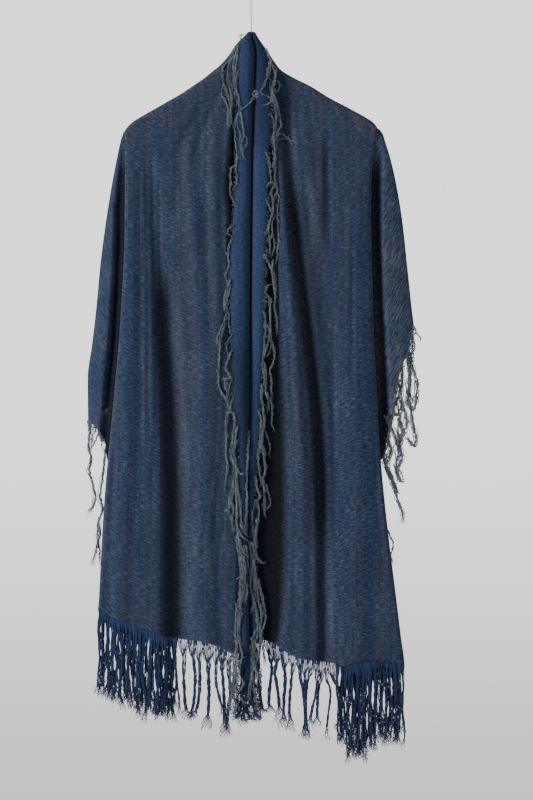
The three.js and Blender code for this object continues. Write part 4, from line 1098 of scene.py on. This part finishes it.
right_frays = [
    (4, [(25, -106), (30, -116), (32, -126), (32, -138), (30, -151)]),
    (5, [(32, -124), (37, -138), (40, -150), (39, -161), (35, -171), (37, -183), (42, -195), (45, -208),
        (49, -225), (50, -235), (45, -245), (42, -260)]),
    (3, [(34, -133), (42, -141), (40, -158), (37, -170)]),
    (2, [(37, -173), (40, -163), (44, -160), (47, -165), (47, -173), (42, -178), (39, -173)]),
    (5, [(35, -171), (35, -188), (39, -202), (42, -215), (42, -228), (40, -242), (37, -255), (37, -269)]),
    (2, [(18, -183), (25, -186), (32, -190), (37, -197)]),
    (2, [(22, -202), (29, -200), (35, -193)]),
    (2, [(27, -218), (34, -218), (37, -228), (39, -244)]),
    (4, [(40, -254), (50, -249), (59, -254), (67, -259), (79, -265)]),
    (3, [(42, -260), (55, -257), (64, -260), (69, -267)]),
    (4, [(39, -255), (39, -276), (40, -289), (37, -301), (40, -312)]),
    (4, [(37, -276), (40, -301), (40, -318), (40, -334)]),
    (2, [(24, -279), (29, -292), (32, -304), (32, -318), (35, -333)]),
    (2, [(27, -338), (30, -333), (37, -331), (42, -336), (44, -344)]),
    (5, [(42, -331), (35, -343), (34, -353), (37, -363), (37, -376), (34, -388), (30, -400), (27, -410),
        (24, -418)]),
    (3, [(39, -333), (44, -343), (40, -353), (35, -363)]),
    (3, [(42, -346), (47, -354), (45, -368), (44, -380), (45, -393), (45, -410), (47, -427), (45, -440),
        (44, -454), (40, -469)]),
    (2, [(24, -360), (29, -368), (32, -376), (35, -383)]),
    (3, [(40, -385), (35, -400), (35, -417), (30, -432)]),
    (3, [(29, -403), (30, -423), (32, -440), (32, -454)]),
    (3, [(37, -417), (39, -437), (35, -455)]),
    (5, [(22, -452), (27, -460), (32, -472), (37, -482), (40, -494), (42, -512)]),
    (5, [(37, -460), (35, -477), (37, -491), (39, -507), (40, -524), (39, -541), (42, -554), (44, -570),
        (44, -585)]),
    (2, [(24, -512), (29, -504), (35, -501)]),
    (2, [(22, -514), (29, -522), (32, -529), (40, -533)]),
    (2, [(20, -528), (29, -531), (39, -531)]),
    (4, [(32, -524), (32, -544), (32, -561), (32, -578), (30, -591), (27, -605), (22, -620), (18, -637)]),
    (4, [(20, -546), (24, -561), (24, -578), (22, -595), (22, -612), (20, -628), (25, -645), (25, -662),
        (22, -679)]),
    (3, [(27, -570), (32, -581), (34, -595), (37, -608), (40, -620), (37, -632), (32, -645), (34, -662),
        (34, -679), (35, -694)]),
    (2, [(27, -622), (32, -612), (34, -601), (30, -595)]),
    (4, [(18, -633), (22, -652), (22, -669), (25, -685), (29, -699), (29, -714)]),
    (6, [(18, -669), (18, -689), (20, -709), (22, -729), (20, -749), (18, -766), (17, -785)]),
    (3, [(25, -680), (32, -696), (35, -709), (35, -726), (34, -736), (39, -746)]),
    (3, [(24, -748), (29, -763), (32, -776), (30, -790)]),
    (4, [(12, -714), (17, -729), (15, -749), (15, -766), (12, -783), (12, -800), (15, -815)]),
    (5, [(17, -759), (20, -780), (22, -796), (24, -813), (20, -827), (22, -843), (22, -860), (24, -879)]),
    (3, [(12, -801), (15, -822), (17, -840)]),
    (5, [(7, -823), (10, -843), (15, -858), (10, -865), (13, -880), (12, -897), (8, -914), (8, -936)]),
    (3, [(25, -837), (30, -855), (32, -869), (27, -879)]),
    (3, [(8, -862), (3, -880), (2, -900), (3, -924)]),
    (2, [(18, -869), (22, -880), (24, -892)]),
    (3, [(8, -911), (7, -939), (10, -956), (17, -968), (24, -968)]),
    (5, [(-2, -936), (0, -961), (0, -984), (-2, -1006), (2, -1023), (5, -1037), (0, -1053)]),
    (3, [(-8, -939), (-7, -956), (-3, -981), (0, -1001)]),
    (4, [(5, -961), (7, -990), (10, -1015), (13, -1035), (17, -1057), (15, -1082), (15, -1107), (12, -1124),
        (5, -1147)]),
    (4, [(12, -995), (17, -1018), (22, -1040), (24, -1065), (18, -1085), (20, -1107), (22, -1124),
        (24, -1139)]),
    (4, [(3, -1028), (10, -1052), (12, -1074), (7, -1087), (3, -1099), (3, -1124), (2, -1149), (-2, -1174),
        (-3, -1196)]),
    (3, [(8, -1048), (13, -1074), (8, -1099), (5, -1124), (7, -1146), (12, -1159), (17, -1171)]),
    (4, [(2, -1095), (0, -1132), (3, -1166), (7, -1191), (10, -1205), (7, -1215)]),
    (2, [(-18, -1194), (-13, -1201), (-5, -1201), (0, -1191)]),
    (4, [(5, -939), (3, -964), (8, -990), (5, -1015)]),
    (4, [(2, -939), (7, -958), (2, -978), (5, -1001), (8, -1025)])]

# Yarns that cross the opening between the lapels or hang in it.
crossing = [
    (5, [(32, -128), (29, -141), (27, -155), (22, -166), (18, -176), (13, -181), (8, -185), (3, -190),
        (-3, -198), (-10, -205), (-17, -210), (-20, -215)]),
    (2, [(13, -186), (8, -188), (3, -183), (5, -178), (10, -178), (13, -183)]),
    (2, [(-3, -746), (-5, -788), (-7, -830), (-8, -872), (-10, -917)])]
fray_stand = 1.8
thick_below = -700
fray_dye = yarn_recipe((0.060, 0.085, 0.115), (0.200, 0.245, 0.285), (0.34, 0.38, 0.41))
fray_grey = finish_of("frayed_yarn", fray_dye, Roughness=0.9, Sheen_Weight=0.3, Specular_IOR_Level=0.15)


def foremost_y(x, z):
    """The foremost cloth at a place, a lapel or a front. Just beyond a lapel, yarns hang free at the depth of
    its edge."""
    ahead = front_y(x, z)
    for sign in (-1, 1):
        start = level["groove"](z)
        edge = level["lapel_" + word_of(sign)](z)
        reach = (x - start) / (edge - start)
        turn = np.arccos(np.clip(1 - reach * (1 - math.cos(lapel_turn)), -1, 1)) / lapel_turn
        lapel = lapel_place(sign, np.clip(turn, 0.15, 1), z)[1]
        lapel = lerp(lapel, ahead, smooth((np.abs(x - edge) - 4) / 22) * (reach > 1))
        ahead = np.where(reach > 0, np.minimum(ahead, lapel), ahead)
    return ahead


def hung(table, rng):
    """The frays of a table on the foremost cloth. A long one has looser yarns beside it, more of them low
    down."""
    groups = []
    for yarns, route in table:
        x, z = np.array(route, float).T
        y = foremost_y(x, z) - fray_stand - rng.uniform(0, 1.6)
        path = np.stack([x, y, z], 1)
        lay = rng.uniform(12, 26)
        groups.append(plied(path, yarns, rng, 0.66, lay, loose=1, splay=1.6, crimp=0.8))
        if len(path) > 4:
            beside = path + rng.uniform(-1.5, 1.5, path.shape)
            more = 3 if z[0] < thick_below else 1
            groups.append(plied(beside, more, rng, 0.6, loose=2.6, crimp=0.9))
    return groups


def edge_hairs(sign, rng, count):
    """Short ends that stand out along a lapel's raw edge."""
    z = -rng.uniform(95, 1110, count)
    x = level["lapel_" + word_of(sign)](z)
    start = np.stack([x, lapel_place(sign, np.ones(count), z)[1] - 0.5, z], 1)
    aside = sign * rng.uniform(0.5, 1, count)
    forward = rng.uniform(-0.5, 0.2, count)
    lean = np.stack([aside, forward, rng.uniform(-0.9, 0.5, count)], 1)
    t = np.linspace(0, 1, 6)[None, :, None]
    hairs = start[:, None] + lean[:, None] * t * rng.uniform(2, 7, count)[:, None, None]
    hairs[..., 2] -= 2 * t[..., 0] ** 2
    return hairs, 0.26


for sign, table in ((-1, left_frays + crossing), (1, right_frays)):
    word = word_of(sign)
    rng = np.random.default_rng(60 + sign)
    groups = hung(table, rng)
    groups.append(fluff(groups, rng, count=700, length=9, radius=0.26))
    groups.append(edge_hairs(sign, rng, count=460))
    piece = spun(f"lapel_yarns_{word}", groups, fray_grey)
    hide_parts(f"lapel_fray_{word}")

# ---- Frayed yarns of the sides, the back and the neck ----
# The outer long edge is as worn: sparse yarns and a few knotted ropes hang from the slanting flaps, and a
# row of yarns along the back. A few more hang from the turned edge behind the neck.

# The ropes, placed one by one like the frays of the lapels.
left_ropes = [
    (5, [(-272, -722), (-272, -746), (-274, -776), (-269, -793), (-272, -813), (-267, -838), (-262, -858),
        (-265, -872), (-272, -884)]),
    (5, [(-244, -773), (-247, -796), (-249, -822), (-254, -855), (-250, -880), (-257, -900), (-254, -917),
        (-260, -944), (-267, -971)]),
    (3, [(-257, -900), (-259, -922), (-255, -948), (-255, -969)]),
    (2, [(-274, -704), (-265, -726), (-255, -746), (-247, -769)]),
    (2, [(-269, -721), (-260, -736), (-265, -753), (-272, -769)]),
    (2, [(-260, -736), (-254, -756), (-249, -780)]),
    (2, [(-264, -726), (-272, -743), (-267, -759), (-272, -783)]),
    (2, [(-255, -749), (-262, -763), (-270, -780)])]
right_ropes = [
    (2, [(272, -570), (277, -581), (284, -590), (286, -596)]),
    (3, [(272, -571), (277, -580), (272, -590), (270, -601)]),
    (4, [(269, -586), (272, -603), (269, -623), (272, -642), (279, -662), (279, -682), (277, -699),
        (272, -712), (265, -704), (264, -689), (269, -675)]),
    (3, [(267, -598), (265, -620), (269, -642), (265, -662), (265, -682), (272, -699)]),
    (4, [(262, -612), (264, -637), (269, -662), (264, -689), (269, -712), (272, -738), (277, -756),
        (274, -773), (267, -766), (262, -758)]),
    (2, [(276, -659), (274, -682), (270, -702), (265, -692)]),
    (3, [(254, -638), (255, -662), (252, -685), (257, -709), (262, -729), (259, -749)]),
    (3, [(247, -659), (250, -682), (244, -699), (239, -712), (245, -721), (252, -709), (257, -696)]),
    (4, [(242, -675), (244, -699), (250, -722), (247, -746), (252, -769)]),
    (4, [(237, -692), (239, -716), (235, -739), (242, -759), (247, -783), (244, -806), (250, -830),
        (255, -833)]),
    (4, [(232, -709), (235, -732), (230, -756), (235, -780), (228, -803), (235, -823), (242, -843),
        (247, -853)]),
    (3, [(228, -722), (232, -746), (228, -773), (223, -796), (232, -820), (240, -843), (247, -864),
        (254, -884), (255, -902)]),
    (3, [(247, -726), (254, -746), (249, -769), (254, -793), (247, -813), (250, -830)]),
    (2, [(255, -712), (250, -736), (257, -756), (252, -776)]),
    (2, [(239, -738), (247, -756), (240, -776), (245, -796)]),
    (2, [(252, -696), (259, -716), (255, -736), (262, -756)]),
    (2, [(227, -763), (237, -783), (232, -806), (240, -827)]),
    (3, [(228, -911), (234, -924), (239, -939), (235, -958), (239, -971)]),
    (2, [(257, -830), (252, -816), (245, -810)])]
side_dye = yarn_recipe((0.080, 0.102, 0.135), (0.200, 0.235, 0.280), (0.35, 0.38, 0.41))
side_grey = finish_of("side_yarn", side_dye, Roughness=0.9, Sheen_Weight=0.2, Specular_IOR_Level=0.15)
rope_spread = 4.4


def edge_yarns(surface, edge, count, lengths, rng, lean=0.0):
    """Single yarns of uneven length along a stretch of the foot of a cloth."""
    share = np.sort(rng.uniform(*edge, count))
    roots = np.stack(surface(share, np.ones(count))[0], 1)
    drop = lengths(share) * rng.uniform(0.25, 1, count)
    steps = 22
    t = np.linspace(0, 1, steps)
    routes = np.repeat(roots[:, None], steps, 1)
    routes[..., 2] -= drop[:, None] * t
    routes[..., 0] += lean * drop[:, None] * t + waver(rng, count, steps, 3.2, (2, 5)) * smooth(t * 4)
    routes[..., 1] += waver(rng, count, steps, 1.6, (3, 6)) * smooth(t * 4)
    return routes, rng.uniform(0.4, 0.6, count)


def side_drop(share):
    """The side's yarns hang longer towards the rear."""
    return 12 + 26 * share


def back_drop(share):
    """The back's yarns hang in a few longer bunches."""
    return 30 + 85 * (0.5 + 0.5 * np.sin(share * 40)) ** 2


def neck_drop(share):
    """The neck's yarns hang about evenly."""
    return 50 + 0 * share


# Each side has its ropes, how many loose yarns follow a long rope, and how many hang from its edge.
for sign, ropes, beside, count in ((-1, left_ropes, 1, 40), (1, right_ropes, 6, 50)):
    word = word_of(sign)
    rng = np.random.default_rng(80 + sign)
    groups = []
    for yarns, route in ropes:
        x, z = np.array(route, float).T
        depth = np.full(len(x), 2.0) + rng.uniform(-3, 3)
        path = np.stack([x, depth, z], 1)
        groups.append(plied(path, yarns, rng, 0.95, 12, loose=1.2, splay=1.5, crimp=0.5))
        for _ in range(beside if len(x) > 5 else 0):
            shift = rng.uniform(-rope_spread, rope_spread, path.shape) * [1, 1, 0.5]
            groups.append(plied(path + shift, 1, rng, 0.8, loose=1.6, crimp=0.7))
    groups.append(fluff(groups, rng, count=200, length=8, radius=0.2))
    groups.append(edge_yarns(side_surface(sign), (0.1, 0.62), count, side_drop, rng, -0.15 * sign))
    piece = spun(f"side_yarns_{word}", groups, side_grey)
    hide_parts(f"side_fray_{word}")

for name, node, surface, edge, count, lengths in (
        ("back_yarns", "back_fray", back_surface, (0.03, 0.97), 130, back_drop),
        ("neck_yarns", "collar_fray", collar_surface, (0, 1), 34, neck_drop)):
    rng = np.random.default_rng(len(name))
    groups = [edge_yarns(surface, edge, count, lengths, rng)]
    groups.append(fluff(groups, rng, count=2 * count, length=8, radius=0.2))
    piece = spun(name, groups, fray_grey)
    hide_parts(node)

# ---- Floor and light ----
# A pale floor lies well below. Soft daylight comes from a large window to the left, with weaker light from
# the room in front and from behind.
floor_radius = 1.15
floor_place = (0, 0.05, -1.95)
bpy.ops.mesh.primitive_circle_add(vertices=64, radius=floor_radius, fill_type="NGON", location=floor_place)
floor = bpy.context.object
floor.name = "floor"
floor_finish = finish_of("pale_floor", lambda dye: {}, Base_Color=(0.7, 0.7, 0.69, 1), Roughness=0.8)
floor.data.materials.append(floor_finish)

# Each light has its place, the size of its opening, its power and its colour.
light_aim = (0, 0, -0.65)
for name, place, opening, power, colour in (
        ("window", (-2.5, -1.75, -0.35), (1.2, 2.0), 118, (1, 0.985, 0.96)),
        ("room", (1.6, -2.8, 0.2), (2.5, 2.5), 36, (0.95, 0.97, 1)),
        ("rear", (2.4, 2.2, 0.1), (1.6, 2.0), 34, (0.95, 0.97, 1))):
    light_data = bpy.data.lights.new(name, "AREA")
    light_data.shape = "RECTANGLE"
    light_data.size, light_data.size_y = opening
    light_data.energy = power
    light_data.color = colour
    light = bpy.data.objects.new(name, light_data)
    bpy.context.collection.objects.link(light)
    light.location = place
    towards = Vector(light_aim) - Vector(place)
    light.rotation_euler = towards.to_track_quat("-Z", "Y").to_euler()

# Beyond the floor the view shows a plain pale backdrop, and the light from there is weak and grey.
world = bpy.data.worlds.new("room")
bpy.context.scene.world = world
world.use_nodes = True
sky = Dye(world.node_tree)
weak_grey = (0.16, 0.163, 0.17)
direction = sky.node("TexCoord", {}, {}, output=0)
height = sky.node("SeparateXYZ", {}, {0: direction}, output=2)
wall = height.between(-0.13, 0.01).blend((0.88, 0.88, 0.86), (1.75, 1.75, 1.74))
seen = sky.node("LightPath", {}, {}, output=0)
background = world.node_tree.nodes["Background"]
world.node_tree.links.new(seen.blend(weak_grey, wall).socket, background.inputs["Color"])
